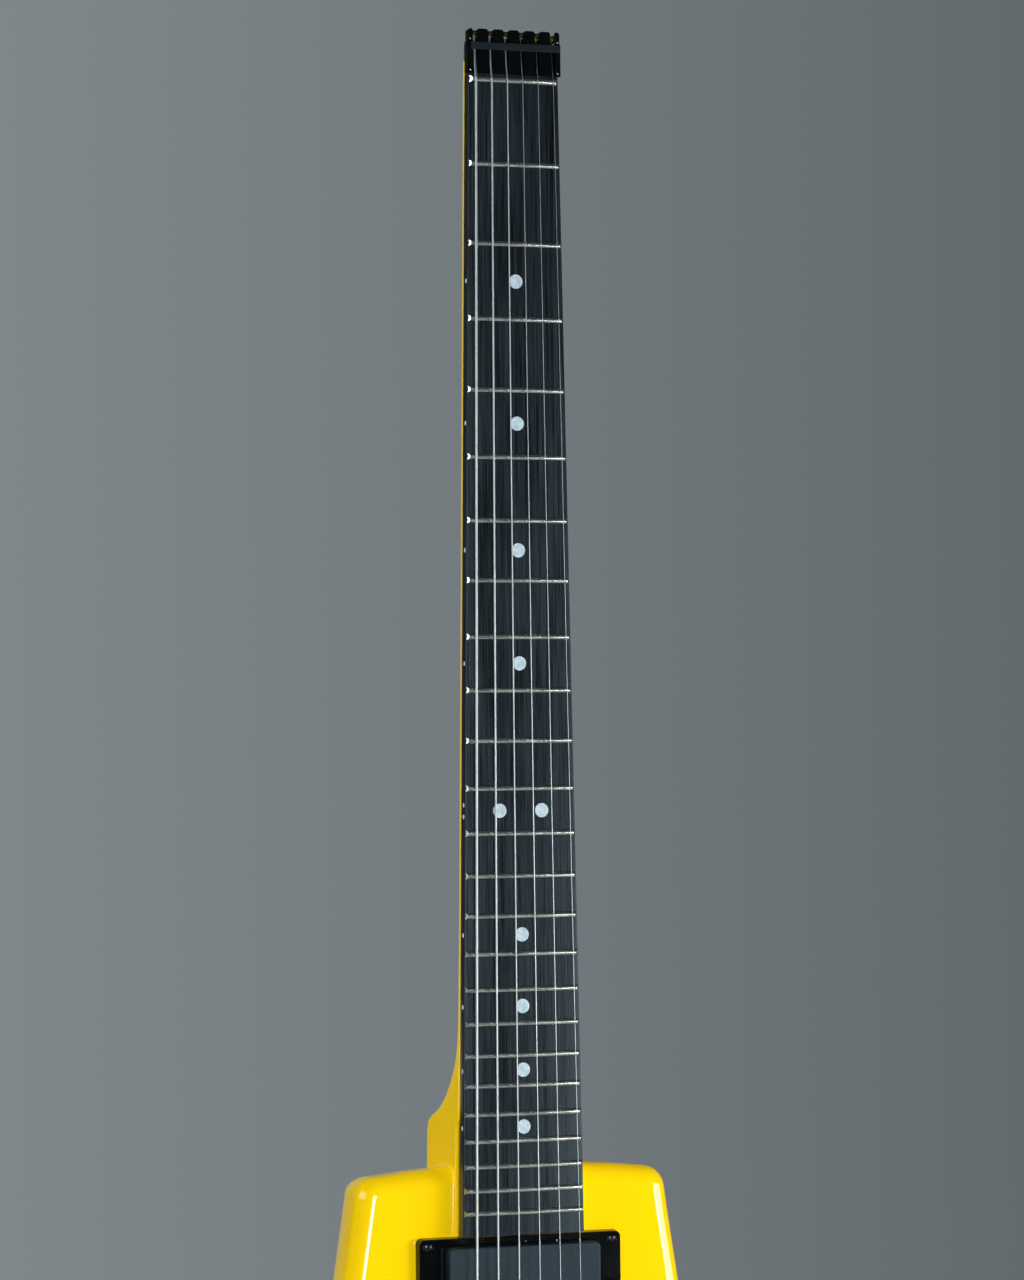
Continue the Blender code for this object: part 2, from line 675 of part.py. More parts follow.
def build_jaw(number):
    """A sliding jaw: a string slot, a room for the ball and a blind hole for the screw."""
    x = string_x(number, SADDLE_PITCH)
    y = (PLATE_TOP_Y - 1.1, HOUSING_FRONT_Y + 0.2)
    pivot = (x, TUNER_Y, JAW_Z[0])
    jaw = block(f"jaw_{number}", (x - 4.0, x + 4.0), y, JAW_Z, STEEL, pivot)
    room = block(f"jaw_room_{number}", (x - 2.0, x + 2.0), (-60, -44.7), (54.0, 59.0), STEEL)
    slit = block(f"jaw_slit_{number}", (x - 0.9, x + 0.9), (-60, -45.6), (57, 70), STEEL)
    profile = [(2.4, 30), (2.4, 50)]
    hole = turned(f"jaw_hole_{number}", profile, (x, TUNER_Y, 0), "Z", STEEL, 10)
    cut(jaw, room, slit, hole)
    return jaw


def build_tuner_knob(number):
    """A long thumb knob and the screw that pulls the jaw."""
    x = string_x(number, SADDLE_PITCH)
    low, high = KNOB_Z
    rim = KNOB_RADIUS
    profile = [(rim - 1.0, low), (rim, low + 1.0), (rim, high - 4.5), (rim - 1.0, high - 3.8)]
    profile += [(rim - 1.0, high), (2.0, high), (2.0, 46.5)]
    centre = (x, TUNER_Y, 0)
    knob = turned(f"tuner_knob_{number}", profile, centre, "Z", BLACK_METAL, 12, (x, TUNER_Y, low))
    return smooth(knob)


def build_block():
    x = (-BLOCK_HALF, BLOCK_HALF)
    y = (PLATE_UNDER_Y + GAP, BLOCK_UNDER_Y)
    weight = block("tremolo_block", x, y, BLOCK_Z, STEEL)
    for side in (-1, 1):
        profile = [(1.5, 91), (1.5, 110)]
        cut(weight, turned(f"hook_hole_{side}", profile, (side * SPRING_X, SPRING_Y, 0), "Z", STEEL, 8))
    return weight


def build_pivot_stud(name, side):
    """A post in the body with a head, which the plate's fork rocks on."""
    seat = PLATE_UNDER_Y + 1.8
    profile = [(5.0, -17.5), (5.0, seat), (3.0, seat), (3.0, -44.2), (5.0, -44.2), (5.0, -46.2)]
    smooth(turned(name, profile, (side * STUD_X, 0, PIVOT_Z), "Y", BLACK_METAL, 12))


def spring_path(x):
    """A straight leg, a coil whose ends close to the axis, and a straight leg."""
    low, high = BLOCK_Z[1] + 1.5, CLAW_Z - 1.5
    turns = 15
    per_turn = 8
    path = [(x, SPRING_Y, low - 6)]
    for k in range(turns * per_turn + 1):
        share = k / (turns * per_turn)
        ends = min(share, 1 - share) * turns * 2
        radius = SPRING_RADIUS * min(1.0, ends)
        turn = math.tau * k / per_turn
        z = low + (high - low) * share
        path.append((x + radius * math.cos(turn), SPRING_Y + radius * math.sin(turn), z))
    path.append((x, SPRING_Y, high + 5))
    return path


def build_spring(name, side):
    smooth(tube(name, spring_path(side * SPRING_X), SPRING_WIRE, 4, STEEL), 60)


def build_claw():
    """The plate that the springs hook into, on two screws that run into the body."""
    claw = block("spring_claw", (-21, 21), (-15, -5.5), (CLAW_Z, CLAW_Z + 2), STEEL)
    for side in (-1, 1):
        profile = [(1.8, CLAW_Z + 1), (1.8, 204)]
        fuse(claw, turned(f"claw_screw_{side}", profile, (side * 9, -10, 0), "Z", STEEL, 8))
        profile = [(1.3, CLAW_Z - 5), (1.3, CLAW_Z + 10)]
        cut(claw, turned(f"claw_hole_{side}", profile, (side * SPRING_X, SPRING_Y, 0), "Z", STEEL, 8))


def build_arm():
    """The vibrato arm: a post, two bends and a long reach with a tip."""
    x, z = SOCKET_X, SOCKET_Z
    path = [(x, -45, z), (x, -58, z), (x + 0.5, -61.5, z + 1.5), (x + 1.5, -63.5, z + 5)]
    path += [(x + 3, -64.5, z + 12), (x + 10, -67, z + 60), (x + 15, -68, z + 98)]
    path += [(x + 16, -67.5, z + 104), (x + 17, -66.5, z + 110)]
    arm = tube("tremolo_arm", path, 2.5, 10, BRIGHT, (x, -45, z))
    return smooth(arm, 60)


def build_socket():
    profile = [(4.0, PLATE_TOP_Y - GAP), (4.0, -52.0), (3.6, -52.6), (2.8, -52.6), (2.8, -44.0)]
    centre = (SOCKET_X, 0, SOCKET_Z)
    return smooth(turned("arm_socket", profile, centre, "Y", BLACK_METAL, 12))


def build_lock_lever():
    """The lever that swings over the plate's edge and holds the bridge still."""
    x, z = LOCK_X, LOCK_Z
    corners = [(x - 3.5, z - 3.5, 3.4), (x + 3.5, z - 3.5, 3.4), (x + 3.0, z + 14, 2.9), (x - 3.0, z + 14, 2.9)]
    pivot = (x, -43.0, z)
    lever = prism("lock_lever", rounded(corners), "Y", (-44.8, -42.4), BLACK_METAL, pivot)
    profile = [(2.0, -26), (2.0, FRONT_Y - GAP), (3.3, FRONT_Y - GAP), (3.3, -43)]
    fuse(lever, turned("lock_post", profile, (x, 0, z), "Y", BLACK_METAL, 10))


def build_pot(name, z):
    """A potentiometer under the front, its bushing through it, with a nut on top."""
    profile = [(8.5, -20), (8.5, CONTROL_FLOOR_Y + GAP), (4.2, CONTROL_FLOOR_Y + GAP)]
    profile += [(4.2, FRONT_Y - GAP), (6.0, FRONT_Y - GAP), (6.0, FRONT_Y - 2.0)]
    profile += [(3.3, FRONT_Y - 2.0), (3.3, -24)]
    smooth(turned(name, profile, (CONTROL_X, 0, z), "Y", STEEL, 14))


def build_knob(name, z):
    """A control knob with its shaft."""
    skirt = FRONT_Y - 2.8
    profile = [(2.9, -26), (2.9, skirt), (9.2, skirt), (9.5, skirt - 1), (9.0, skirt - 13)]
    profile += [(8.0, skirt - 14)]
    knob = turned(name, profile, (CONTROL_X, 0, z), "Y", BLACK_METAL, 20, (CONTROL_X, skirt, z))
    smooth(knob)


def build_selector():
    """The blade switch: a frame below the front, and the lever that rocks in it."""
    z = SELECTOR_Z
    frame = block("selector_switch", (52, 70), (-31.7, -14), (z - 17, z + 17), STEEL)
    cut(frame, block("selector_room", (57.5, 64.5), (-60, -20), (z - 12, z + 12), STEEL))
    pivot = (CONTROL_X, SELECTOR_AXIS_Y, z)
    blade = [(-24.5, z - 2.2), (-24.5, z + 2.2), (-43, z + 1.4), (-43, z - 1.4)]
    lever = prism("selector_lever", blade, "X", (CONTROL_X - 0.8, CONTROL_X + 0.8), STEEL, pivot)
    outline = rounded_box((4.6, 6.0), (CONTROL_X, z), 1.2, 2)
    rings = []
    for y, share in ((-42.3, 1.0), (-48.0, 0.8), (-51.5, 0.95)):
        ring = []
        for a, b in outline:
            ring.append((CONTROL_X + (a - CONTROL_X) * share, y, z + (b - z) * share))
        rings.append(ring)
    fuse(lever, loft("selector_tip", rings, BLACK_PLASTIC))


def build_jack():
    """The output jack: a flange on the tail, and a barrel with the plug's bore."""
    profile = [(3.3, 24), (3.3, -2.6), (8.0, -2.6), (10.5, -1.2), (10.5, -GAP), (7.5, -GAP), (7.5, 26)]
    smooth(turned("output_jack", profile, (JACK_X, MID_Y, 0), "Z", BLACK_METAL, 16))


def button_profile(base, away):
    """A strap button: a foot, a waist and a wide head."""
    steps = ((5.5, 0.0), (5.0, 2.0), (3.6, 4.5), (3.6, 8.0), (6.6, 11.0), (6.6, 13.0), (5.4, 14.0))
    return [(radius, base + away * height) for radius, height in steps]


def build_strap_buttons():
    tail = turned("strap_button_tail", button_profile(-GAP, -1), (BUTTON_X, MID_Y, 0), "Z", BLACK_METAL)
    heel = turned("strap_button_heel", button_profile(GAP, 1), (-16, 0, 214), "Y", BLACK_METAL)
    smooth(tail)
    smooth(heel)


def build_covers():
    outline = rounded_box((72, 126), (0, 131), 5.7)
    spring = prism("spring_cover", outline, "Y", (-2.2, 0), BLACK_PLASTIC)
    for number in range(1, STRINGS + 1):
        x = string_x(number, 9.0)
        slot = rounded_box((5, 14), (x, 90), 2.4, 2)
        cut(spring, prism(f"cover_slot_{number}", slot, "Y", (-9, 9), BLACK_PLASTIC))
    outline = rounded_box((28, 138), (61, 110), 4.7)
    prism("control_cover", outline, "Y", (-2.2, 0), BLACK_PLASTIC)


def leg_point(along, out):
    """A point in plan: along the leg rest from its low end, and out of the body's side."""
    low, high = Vector(LEG_LOW), Vector(LEG_HIGH)
    forward = (high - low).normalized()
    outward = Vector((forward.y, -forward.x))
    return low + forward * along + outward * out


def leg_length():
    return (Vector(LEG_HIGH) - Vector(LEG_LOW)).length


def leg_slab(name, section, along, look, pivot):
    """Extrudes a section (out, y) along the leg rest."""
    rings = []
    for end in along:
        ring = []
        for out, y in section:
            x, z = leg_point(end, out)
            ring.append((x, y, z))
        rings.append(ring)
    return loft(name, rings, look, pivot)


def leg_recess():
    section = [(-LEG_THICKNESS - GAP, LEG_FRONT_Y - GAP), (12, LEG_FRONT_Y - GAP)]
    section += [(12, LEG_BACK_Y + GAP), (-LEG_THICKNESS - GAP, LEG_BACK_Y + GAP)]
    return leg_slab("leg_recess", section, (-GAP, leg_length() + GAP), LACQUER, (0, 0, 0))


def leg_axis():
    """The hinge of the leg rest, at its lower end."""
    x, z = leg_point(0.0, -LEG_THICKNESS / 2)
    return (x, LEG_BACK_Y - LEG_THICKNESS / 2, z)


def leg_pin(name, radius, reach):
    """A pin on the hinge's axis that stands out of both ends."""
    section = []
    middle = (-LEG_THICKNESS / 2, LEG_BACK_Y - LEG_THICKNESS / 2)
    for k in range(8):
        turn = math.tau * k / 8
        section.append((middle[0] + radius * math.cos(turn), middle[1] + radius * math.sin(turn)))
    return leg_slab(name, section, (-reach, leg_length() + reach), STEEL, (0, 0, 0))


def build_leg_rest():
    """A bar that lies in the treble side and swings out on a pin."""
    half = LEG_THICKNESS / 2
    section = [(0.0, LEG_FRONT_Y + 2.5), (-2.0, LEG_FRONT_Y)]
    section += [(1.5 - LEG_THICKNESS, LEG_FRONT_Y), (-LEG_THICKNESS, LEG_FRONT_Y + 1.5)]
    for k in range(7):
        turn = math.pi * (1 - k / 6)
        section.append((-half + half * math.cos(turn), LEG_BACK_Y - half + half * math.sin(turn)))
    rest = leg_slab("leg_rest", section, (0, leg_length()), BLACK_PLASTIC, leg_axis())
    fuse(rest, leg_pin("leg_rest_pin", 1.5, 5.0))


def build_bridge():
    carried = [build_plate(), build_block(), build_socket()]
    carried += [build_saddle(number) for number in range(1, STRINGS + 1)]
    carried += [build_jaw(number) for number in range(1, STRINGS + 1)]
    carried += [build_tuner_knob(number) for number in range(1, STRINGS + 1)]
    carried.append(build_arm())
    hang_on("tremolo_pivot", (0, PIVOT_Y, PIVOT_Z), carried)


def clear_scene():
    for obj in list(bpy.data.objects):
        bpy.data.objects.remove(obj, do_unlink=True)


def main():
    clear_scene()
    build_body()
    build_neck()
    build_truss_rod()
    build_fingerboard()
    build_zero_fret()
    build_headpiece()
    for number in range(1, STRINGS + 1):
        build_string(number)
    build_pickup_ring("neck_pickup_ring", NECK_RING_Z)
    build_pickup_ring("bridge_pickup_ring", BRIDGE_RING_Z)
    build_pickup("neck_pickup", COVER_SIZE, NECK_RING_Z, 2.5)
    build_pickup("middle_pickup", MIDDLE_SIZE, MIDDLE_PICKUP_Z, 8.9)
    build_pickup("bridge_pickup", COVER_SIZE, BRIDGE_RING_Z, 2.5)
    build_bridge()
    build_pivot_stud("pivot_stud_bass", -1)
    build_pivot_stud("pivot_stud_treble", 1)
    build_spring("tremolo_spring_bass", -1)
    build_spring("tremolo_spring_treble", 1)
    build_claw()
    build_lock_lever()
    build_pot("volume_pot", VOLUME_Z)
    build_pot("tone_pot", TONE_Z)
    build_knob("volume_knob", VOLUME_Z)
    build_knob("tone_knob", TONE_Z)
    build_selector()
    build_jack()
    build_strap_buttons()
    build_covers()
    build_leg_rest()


main()
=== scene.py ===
# %% [markdown]
# # A headless electric guitar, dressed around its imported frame
# The CAD model gives every solid and joint of the guitar. This script loads it as a fixed frame, and lays
# finer shapes and finishes over it: lacquer, slate, fret wire, black hardware and strings. Lengths here
# are in millimetres, as on a luthier's drawing, and each mesh is scaled to metres when it is made.

import json
import math

import bmesh
import bpy
from mathutils import Matrix, Vector

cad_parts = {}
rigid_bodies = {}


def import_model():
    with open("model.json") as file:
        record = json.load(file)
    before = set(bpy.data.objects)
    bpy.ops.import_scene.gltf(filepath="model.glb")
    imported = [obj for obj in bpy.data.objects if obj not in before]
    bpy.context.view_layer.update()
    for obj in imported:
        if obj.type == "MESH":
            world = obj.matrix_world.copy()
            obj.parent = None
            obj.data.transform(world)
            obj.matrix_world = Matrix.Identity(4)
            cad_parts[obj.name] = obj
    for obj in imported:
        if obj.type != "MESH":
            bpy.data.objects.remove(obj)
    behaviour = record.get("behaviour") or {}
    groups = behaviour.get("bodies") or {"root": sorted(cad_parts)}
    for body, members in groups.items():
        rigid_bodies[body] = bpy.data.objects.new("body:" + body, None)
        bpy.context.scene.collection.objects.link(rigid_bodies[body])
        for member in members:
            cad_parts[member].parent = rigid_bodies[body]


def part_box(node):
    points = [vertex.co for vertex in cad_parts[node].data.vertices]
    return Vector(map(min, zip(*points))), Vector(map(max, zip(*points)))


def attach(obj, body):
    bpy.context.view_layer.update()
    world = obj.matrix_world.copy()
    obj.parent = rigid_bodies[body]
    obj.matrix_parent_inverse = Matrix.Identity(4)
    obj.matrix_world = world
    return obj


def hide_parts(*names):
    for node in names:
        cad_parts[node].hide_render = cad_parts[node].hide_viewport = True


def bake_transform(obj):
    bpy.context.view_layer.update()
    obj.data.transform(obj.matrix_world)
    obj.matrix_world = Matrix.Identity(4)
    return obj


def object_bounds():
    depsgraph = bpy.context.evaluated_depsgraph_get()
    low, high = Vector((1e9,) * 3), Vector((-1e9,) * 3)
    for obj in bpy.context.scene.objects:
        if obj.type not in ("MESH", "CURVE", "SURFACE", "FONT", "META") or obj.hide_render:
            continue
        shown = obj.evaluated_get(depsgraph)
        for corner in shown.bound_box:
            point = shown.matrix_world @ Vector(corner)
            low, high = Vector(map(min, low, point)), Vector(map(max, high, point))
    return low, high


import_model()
cad_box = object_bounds()
MM = 0.001
print("CAD box in metres:", [[round(v, 4) for v in corner] for corner in cad_box])

# %% [markdown]
# ## The camera
# The 25 fret lines of the photograph fit an even-tempered scale under a pinhole camera, which gave this
# place, these axes and this focal length. A camera's matrix has its right, up and backward axes as
# columns.

# %% Camera
CAMERA_PLACE = Vector((-0.6401, -1.7872, 0.4420))
CAMERA_RIGHT = Vector((0.9390, -0.3437, -0.0095))
CAMERA_AHEAD = Vector((0.3439, 0.9386, 0.0268))
CAMERA_UP = Vector((-0.0003, -0.0284, 0.9996))
LENS = 121.4
SENSOR = 36.0

lens_data = bpy.data.cameras.new("camera")
lens_data.lens = LENS
lens_data.sensor_width = SENSOR
camera = bpy.data.objects.new("camera", lens_data)
axes = Matrix((CAMERA_RIGHT, CAMERA_UP, -CAMERA_AHEAD)).transposed()
camera.matrix_world = Matrix.Translation(CAMERA_PLACE) @ axes.to_4x4()
bpy.context.scene.collection.objects.link(camera)
bpy.context.scene.camera = camera
print("camera looks along", [round(v, 3) for v in CAMERA_AHEAD])

# %% [markdown]
# ## One small language for finishes
# A finish is a tree of shader nodes. Typing each node and link by hand hides the idea behind it, so a
# small class wraps a socket and overloads the arithmetic: `1 - mask * 0.5` then adds its own Math nodes.
# A second class holds one material, and adds any other node from its type, its settings and its values.

# %% Sockets with arithmetic
class Socket:
    """One output of a shader node, or several of them worked out together."""

    def __init__(self, finish, output):
        self.finish = finish
        self.output = output

    def joined(self, operation, *values):
        return self.finish.node("Math", {"operation": operation}, values)

    def __add__(self, other):
        return self.joined("ADD", self, other)

    def __rsub__(self, other):
        return self.joined("SUBTRACT", other, self)

    def __mul__(self, other):
        return self.joined("MULTIPLY", self, other)

    __radd__ = __add__
    __rmul__ = __mul__

    def between(self, low, high):
        """Zero at low, one at high, and held there."""
        values = {"Value": self, "From Min": low, "From Max": high}
        return self.finish.node("MapRange", {"clamp": True}, values)


# %% [markdown]
# A tree takes plain values and wrapped sockets alike, so one method can add every kind of node.

# %% A tree of nodes
class Tree:
    """The nodes of a material or a world, around its one shader."""

    def __init__(self, owner, shader):
        owner.use_nodes = True
        self.tree = owner.node_tree
        self.shader = self.tree.nodes[shader]

    def put(self, socket, value, target=None):
        """A value or another socket into one input."""
        place = (target or self.shader).inputs[socket]
        if isinstance(value, Socket):
            self.tree.links.new(value.output, place)
        else:
            place.default_value = value

    def node(self, kind, settings=None, values=(), output=0):
        made = self.tree.nodes.new("ShaderNode" + kind)
        for key, value in (settings or {}).items():
            setattr(made, key, value)
        pairs = values.items() if isinstance(values, dict) else enumerate(values)
        for socket, value in pairs:
            self.put(socket, value, made)
        return Socket(self, made.outputs[output])

    def tint(self, factor, first, second):
        """A colour between two others."""
        values = {"Factor": factor, 6: (*first, 1.0), 7: (*second, 1.0)}
        return self.node("Mix", {"data_type": "RGBA"}, values, 2)


# %% [markdown]
# A finish is such a tree around a Principled shader. Its patterns lie in the row frame and are sized in
# millimetres, so a grain of half a millimetre is the same on a knob and on the board.

# %% A finish
class Finish(Tree):
    """A material with a Principled shader."""

    def __init__(self, name, colour, roughness, metallic=0.0, coat=0.0, specular=0.5):
        self.material = bpy.data.materials.new(name)
        super().__init__(self.material, "Principled BSDF")
        self.put("Base Color", (*colour, 1.0))
        self.put("Roughness", roughness)
        self.put("Metallic", metallic)
        self.put("Coat Weight", coat)
        self.put("Coat Roughness", 0.03)
        self.put("Specular IOR Level", specular)

    def place(self, stretch=(1.0, 1.0, 1.0)):
        """A point's place in the row frame, in millimetres, stretched along each axis."""
        where = self.node("TexCoord", output="Object")
        scale = [part / MM for part in stretch]
        return self.node("VectorMath", {"operation": "MULTIPLY"}, {0: where, 1: scale})

    def noise(self, size, stretch=(1.0, 1.0, 1.0), detail=3.0, roughness=0.5):
        """Soft random cloud, with lumps of about the given size in millimetres."""
        values = {"Vector": self.place(stretch), "Scale": 1.0 / size}
        values.update({"Detail": detail, "Roughness": roughness})
        return self.node("TexNoise", None, values, "Fac")

    def relief(self, height, depth):
        """A bump whose full height is the depth, in millimetres."""
        values = {"Height": height, "Distance": depth * MM, "Strength": 1.0}
        self.put("Normal", self.node("Bump", None, values))


# %% [markdown]
# ## Lacquer
# The guitar is sprayed a full yellow under clear gloss. Sprayed lacquer is never quite flat: it keeps a
# faint orange peel, a few millimetres from lump to lump, which is what makes a reflection shimmer. The
# colour stays in the Principled base, and the clear coat gives the mirror-like highlights along the
# edges.

# %% Lacquer finish
YELLOW = (0.965, 0.660, 0.001)
DEEP_YELLOW = (0.935, 0.615, 0.001)
SPRAY_CLOUD = 60.0
POLISH_CLOUD = 14.0
PEEL_LUMP = 4.0
PEEL_DEPTH = 0.0006


def lacquer_finish(name):
    finish = Finish(name, YELLOW, 0.40, coat=1.0, specular=0.0)
    finish.put("Base Color", finish.tint(finish.noise(SPRAY_CLOUD, detail=2.0), YELLOW, DEEP_YELLOW))
    polish = finish.noise(POLISH_CLOUD).between(0.35, 0.75)
    finish.put("Roughness", polish * 0.10 + 0.35)
    finish.relief(finish.noise(PEEL_LUMP, detail=1.0), PEEL_DEPTH)
    return finish


lacquer = lacquer_finish("yellow_lacquer")
print("lacquer nodes:", len(lacquer.tree.nodes))

# %% [markdown]
# ## Slate fingerboard, and its inlays
# The board is a dense black resin-wood composite with fine lighter lines along its length. A noise that
# is drawn out some eighty times along the neck gives such grain. A second, coarser one varies its tone.
# The inlays are a pale pearly plastic.

# %% Board and inlay finishes
SLATE_DARK = (0.0002, 0.0005, 0.0010)
SLATE_PALE = (0.0095, 0.0155, 0.0210)
SLATE_SHEEN = (0.66, 0.88, 1.0, 1.0)
DOT_COOL = (0.365, 0.500, 0.575)
DOT_PALE = (0.505, 0.625, 0.680)
GRAIN_LINE, GRAIN_CLOUD = 0.55, 9.0
LINE_STRETCH, CLOUD_STRETCH = (1.0, 1.0, 0.012), (1.0, 1.0, 0.12)
GRAIN_DEPTH = 0.03
PEARL_CLOUD = 1.8


def slate_finish():
    finish = Finish("slate_board", SLATE_DARK, 0.33, specular=0.31)
    finish.put("Specular Tint", SLATE_SHEEN)
    lines = finish.noise(GRAIN_LINE, LINE_STRETCH, detail=4.0, roughness=0.7)
    clouds = finish.noise(GRAIN_CLOUD, CLOUD_STRETCH, detail=3.0)
    grain = (lines * 0.75 + clouds * 0.25).between(0.42, 0.62)
    finish.put("Base Color", finish.tint(grain, SLATE_DARK, SLATE_PALE))
    finish.put("Roughness", grain * 0.16 + 0.26)
    finish.relief(lines, GRAIN_DEPTH)
    return finish


def pearl_finish(name, first, second):
    finish = Finish(name, first, 0.25, coat=0.4)
    clouds = finish.noise(PEARL_CLOUD, detail=4.0).between(0.35, 0.65)
    finish.put("Base Color", finish.tint(clouds, first, second))
    finish.put("Roughness", clouds * 0.12 + 0.2)
    return finish


slate = slate_finish()
pearl = pearl_finish("pearl_dot", DOT_COOL, DOT_PALE)
side_pearl = pearl_finish("side_dot_white", (0.62, 0.64, 0.64), (0.74, 0.75, 0.74))
print("slate nodes:", len(slate.tree.nodes), "pearl nodes:", len(pearl.tree.nodes))

# %% [markdown]
# ## Metals
# Metal shows mostly what it reflects, so its own finish is in how it is worn: brushed along one axis,
# lapped, knurled or blackened. One function makes them all. Its colour runs between two close tones in
# fine streaks, and its roughness follows the same streaks.

# %% Metal finishes
WEAR_CLOUD = 7.0


def metal_finish(name, dark, pale, roughness, stretch=(1.0, 1.0, 1.0), size=0.5, depth=0.004, metallic=1.0,
                 specular=0.5):
    finish = Finish(name, dark, roughness, metallic, specular=specular)
    streaks = finish.noise(size, stretch, detail=4.0, roughness=0.6)
    marks = finish.noise(WEAR_CLOUD, detail=4.0).between(0.42, 0.70)
    finish.put("Base Color", finish.tint(streaks.between(0.3, 0.7), dark, pale))
    finish.put("Roughness", streaks * 0.12 + marks * 0.06 + (roughness - 0.08))
    finish.relief(streaks, depth)
    return finish


fret_metal = metal_finish("fret_wire", (0.42, 0.46, 0.44), (0.72, 0.77, 0.74), roughness=0.22,
                         stretch=(0.12, 1.0, 1.0), size=1.0, depth=0.001)
string_steel = metal_finish("plain_string", (0.24, 0.28, 0.30), (0.38, 0.43, 0.45), roughness=0.30, size=0.3)
bright_steel = metal_finish("bright_steel", (0.60, 0.61, 0.61), (0.78, 0.78, 0.77), roughness=0.16, size=1.5)
plain_steel = metal_finish("plain_steel", (0.34, 0.34, 0.34), (0.52, 0.52, 0.51), roughness=0.38,
                           stretch=(1.0, 0.06, 1.0), size=0.6)
black_metal = metal_finish("black_hardware", (0.0004, 0.0010, 0.0016), (0.0016, 0.0026, 0.0036),
                           roughness=0.20, size=0.7, metallic=0.0, specular=0.2)
satin_metal = metal_finish("satin_hardware", (0.0020, 0.0055, 0.0085), (0.0055, 0.0105, 0.0145),
                           roughness=0.42, stretch=(0.05, 1.0, 1.0), size=0.3, metallic=0.0, specular=0.20)
brass = metal_finish("brass_ball", (0.62, 0.40, 0.13), (0.84, 0.60, 0.25), roughness=0.20)
black_nickel = metal_finish("black_nickel", (0.012, 0.014, 0.016), (0.050, 0.053, 0.056), roughness=0.24,
                            size=0.4)

# %% [markdown]
# The three thick strings are wound: a fine wire is wrapped round a core, more than three turns to a
# millimetre. Turns that close are a texture and not a shape, so a wave along the string stands for them,
# as relief and as painted shade: darker lines in the grooves between the turns. Blender's wave runs
# through 20 radians for each unit of its scale.

# %% Wound string
TURNS_PER_MM = 3.4
WAVE_RADIANS = 20
TURN_DEPTH = 0.015
WRAP_GROOVE_SHADE, WRAP_PALE = (0.20, 0.24, 0.25), (0.50, 0.55, 0.56)


def wound_finish():
    finish = Finish("wound_string", WRAP_GROOVE_SHADE, 0.30, metallic=1.0)
    settings = {"bands_direction": "Z", "wave_profile": "SIN"}
    scale = TURNS_PER_MM * math.tau / WAVE_RADIANS
    values = {"Vector": finish.place(), "Scale": scale, "Distortion": 0.15}
    turns = finish.node("TexWave", settings, values, "Fac")
    # The dark end of this tint is painted shade in the grooves between the turns.
    finish.put("Base Color", finish.tint(turns, WRAP_GROOVE_SHADE, WRAP_PALE))
    finish.put("Roughness", 0.46 - turns * 0.10)
    finish.relief(turns, TURN_DEPTH)
    return finish


wound_steel = wound_finish()
print("wound string nodes:", len(wound_steel.tree.nodes))

# %% [markdown]
# ## Plastics
# The pickup rings are polished black plastic with a few hairline scratches. The pickup covers and the
# back plates are moulded with a fine leather texture, which a Voronoi pattern under a noise gives.

# %% Plastic finishes
def gloss_plastic(name, dark, pale):
    finish = Finish(name, dark, 0.14, specular=0.30)
    dust = finish.noise(0.9, detail=5.0, roughness=0.7).between(0.60, 0.78)
    haze = finish.noise(12.0).between(0.3, 0.8)
    finish.put("Base Color", finish.tint(dust, dark, pale))
    finish.put("Roughness", haze * 0.07 + dust * 0.15 + 0.11)
    finish.relief(finish.noise(3.0, detail=1.0), 0.0015)
    return finish


def moulded_plastic(name, dark, pale, roughness, size):
    finish = Finish(name, dark, roughness, specular=0.34)
    finish.put("Specular Tint", SLATE_SHEEN)
    values = {"Vector": finish.place(), "Scale": 1.0 / size, "Randomness": 0.9}
    pebbles = finish.node("TexVoronoi", {"feature": "SMOOTH_F1"}, values, "Distance")
    worn = finish.noise(16.0, detail=4.0).between(0.4, 0.7)
    finish.put("Base Color", finish.tint(pebbles * 0.5 + worn * 0.5, dark, pale))
    finish.put("Roughness", worn * 0.10 + (roughness - 0.05))
    finish.relief(1 - pebbles, 0.05)
    return finish


ring_plastic = gloss_plastic("ring_plastic", (0.0008, 0.0014, 0.0020), (0.010, 0.011, 0.012))
cover_plastic = moulded_plastic("cover_plastic", (0.0018, 0.0060, 0.0105), (0.009, 0.018, 0.025),
                                roughness=0.50, size=0.55)
back_plastic = moulded_plastic("back_plate_plastic", (0.0060, 0.0066, 0.0072), (0.018, 0.019, 0.020),
                               roughness=0.42, size=0.9)
leg_plastic = moulded_plastic("grip_plastic", (0.010, 0.010, 0.011), (0.028, 0.028, 0.029), roughness=0.55,
                              size=0.35)
felt = moulded_plastic("felt_washer", (0.012, 0.012, 0.013), (0.045, 0.045, 0.046), roughness=0.9, size=0.3)
print("materials so far:", len(bpy.data.materials))

# %% [markdown]
# ## Tools that make a mesh
# Nearly every piece is one of four things: rings skinned into a loft, an outline pulled along an axis, a
# profile turned round one, or a section drawn along a path. Each comes back as an object whose points are
# in the row frame, so nothing has to be placed afterwards.

# %% Mesh from points
PLANE = {"X": (1, 2, 0), "Y": (0, 2, 1), "Z": (0, 1, 2)}


def spread(a, b, height, axis):
    """The point with plane coordinates a and b, at a height along an axis."""
    point = Vector((0.0, 0.0, 0.0))
    for place, value in zip(PLANE[axis], (a, b, height)):
        point[place] = value
    return point


def object_from(name, work):
    """A mesh that has been worked out becomes an object of the scene."""
    mesh = bpy.data.meshes.new(name)
    work.to_mesh(mesh)
    work.free()
    obj = bpy.data.objects.new(name, mesh)
    bpy.context.scene.collection.objects.link(obj)
    return obj


def shell(name, points, faces):
    """A closed mesh from points in millimetres, with its faces turned outward."""
    work = bmesh.new()
    made = [work.verts.new(Vector(p) * MM) for p in points]
    for face in faces:
        work.faces.new([made[i] for i in face])
    bmesh.ops.recalc_face_normals(work, faces=work.faces)
    return object_from(name, work)


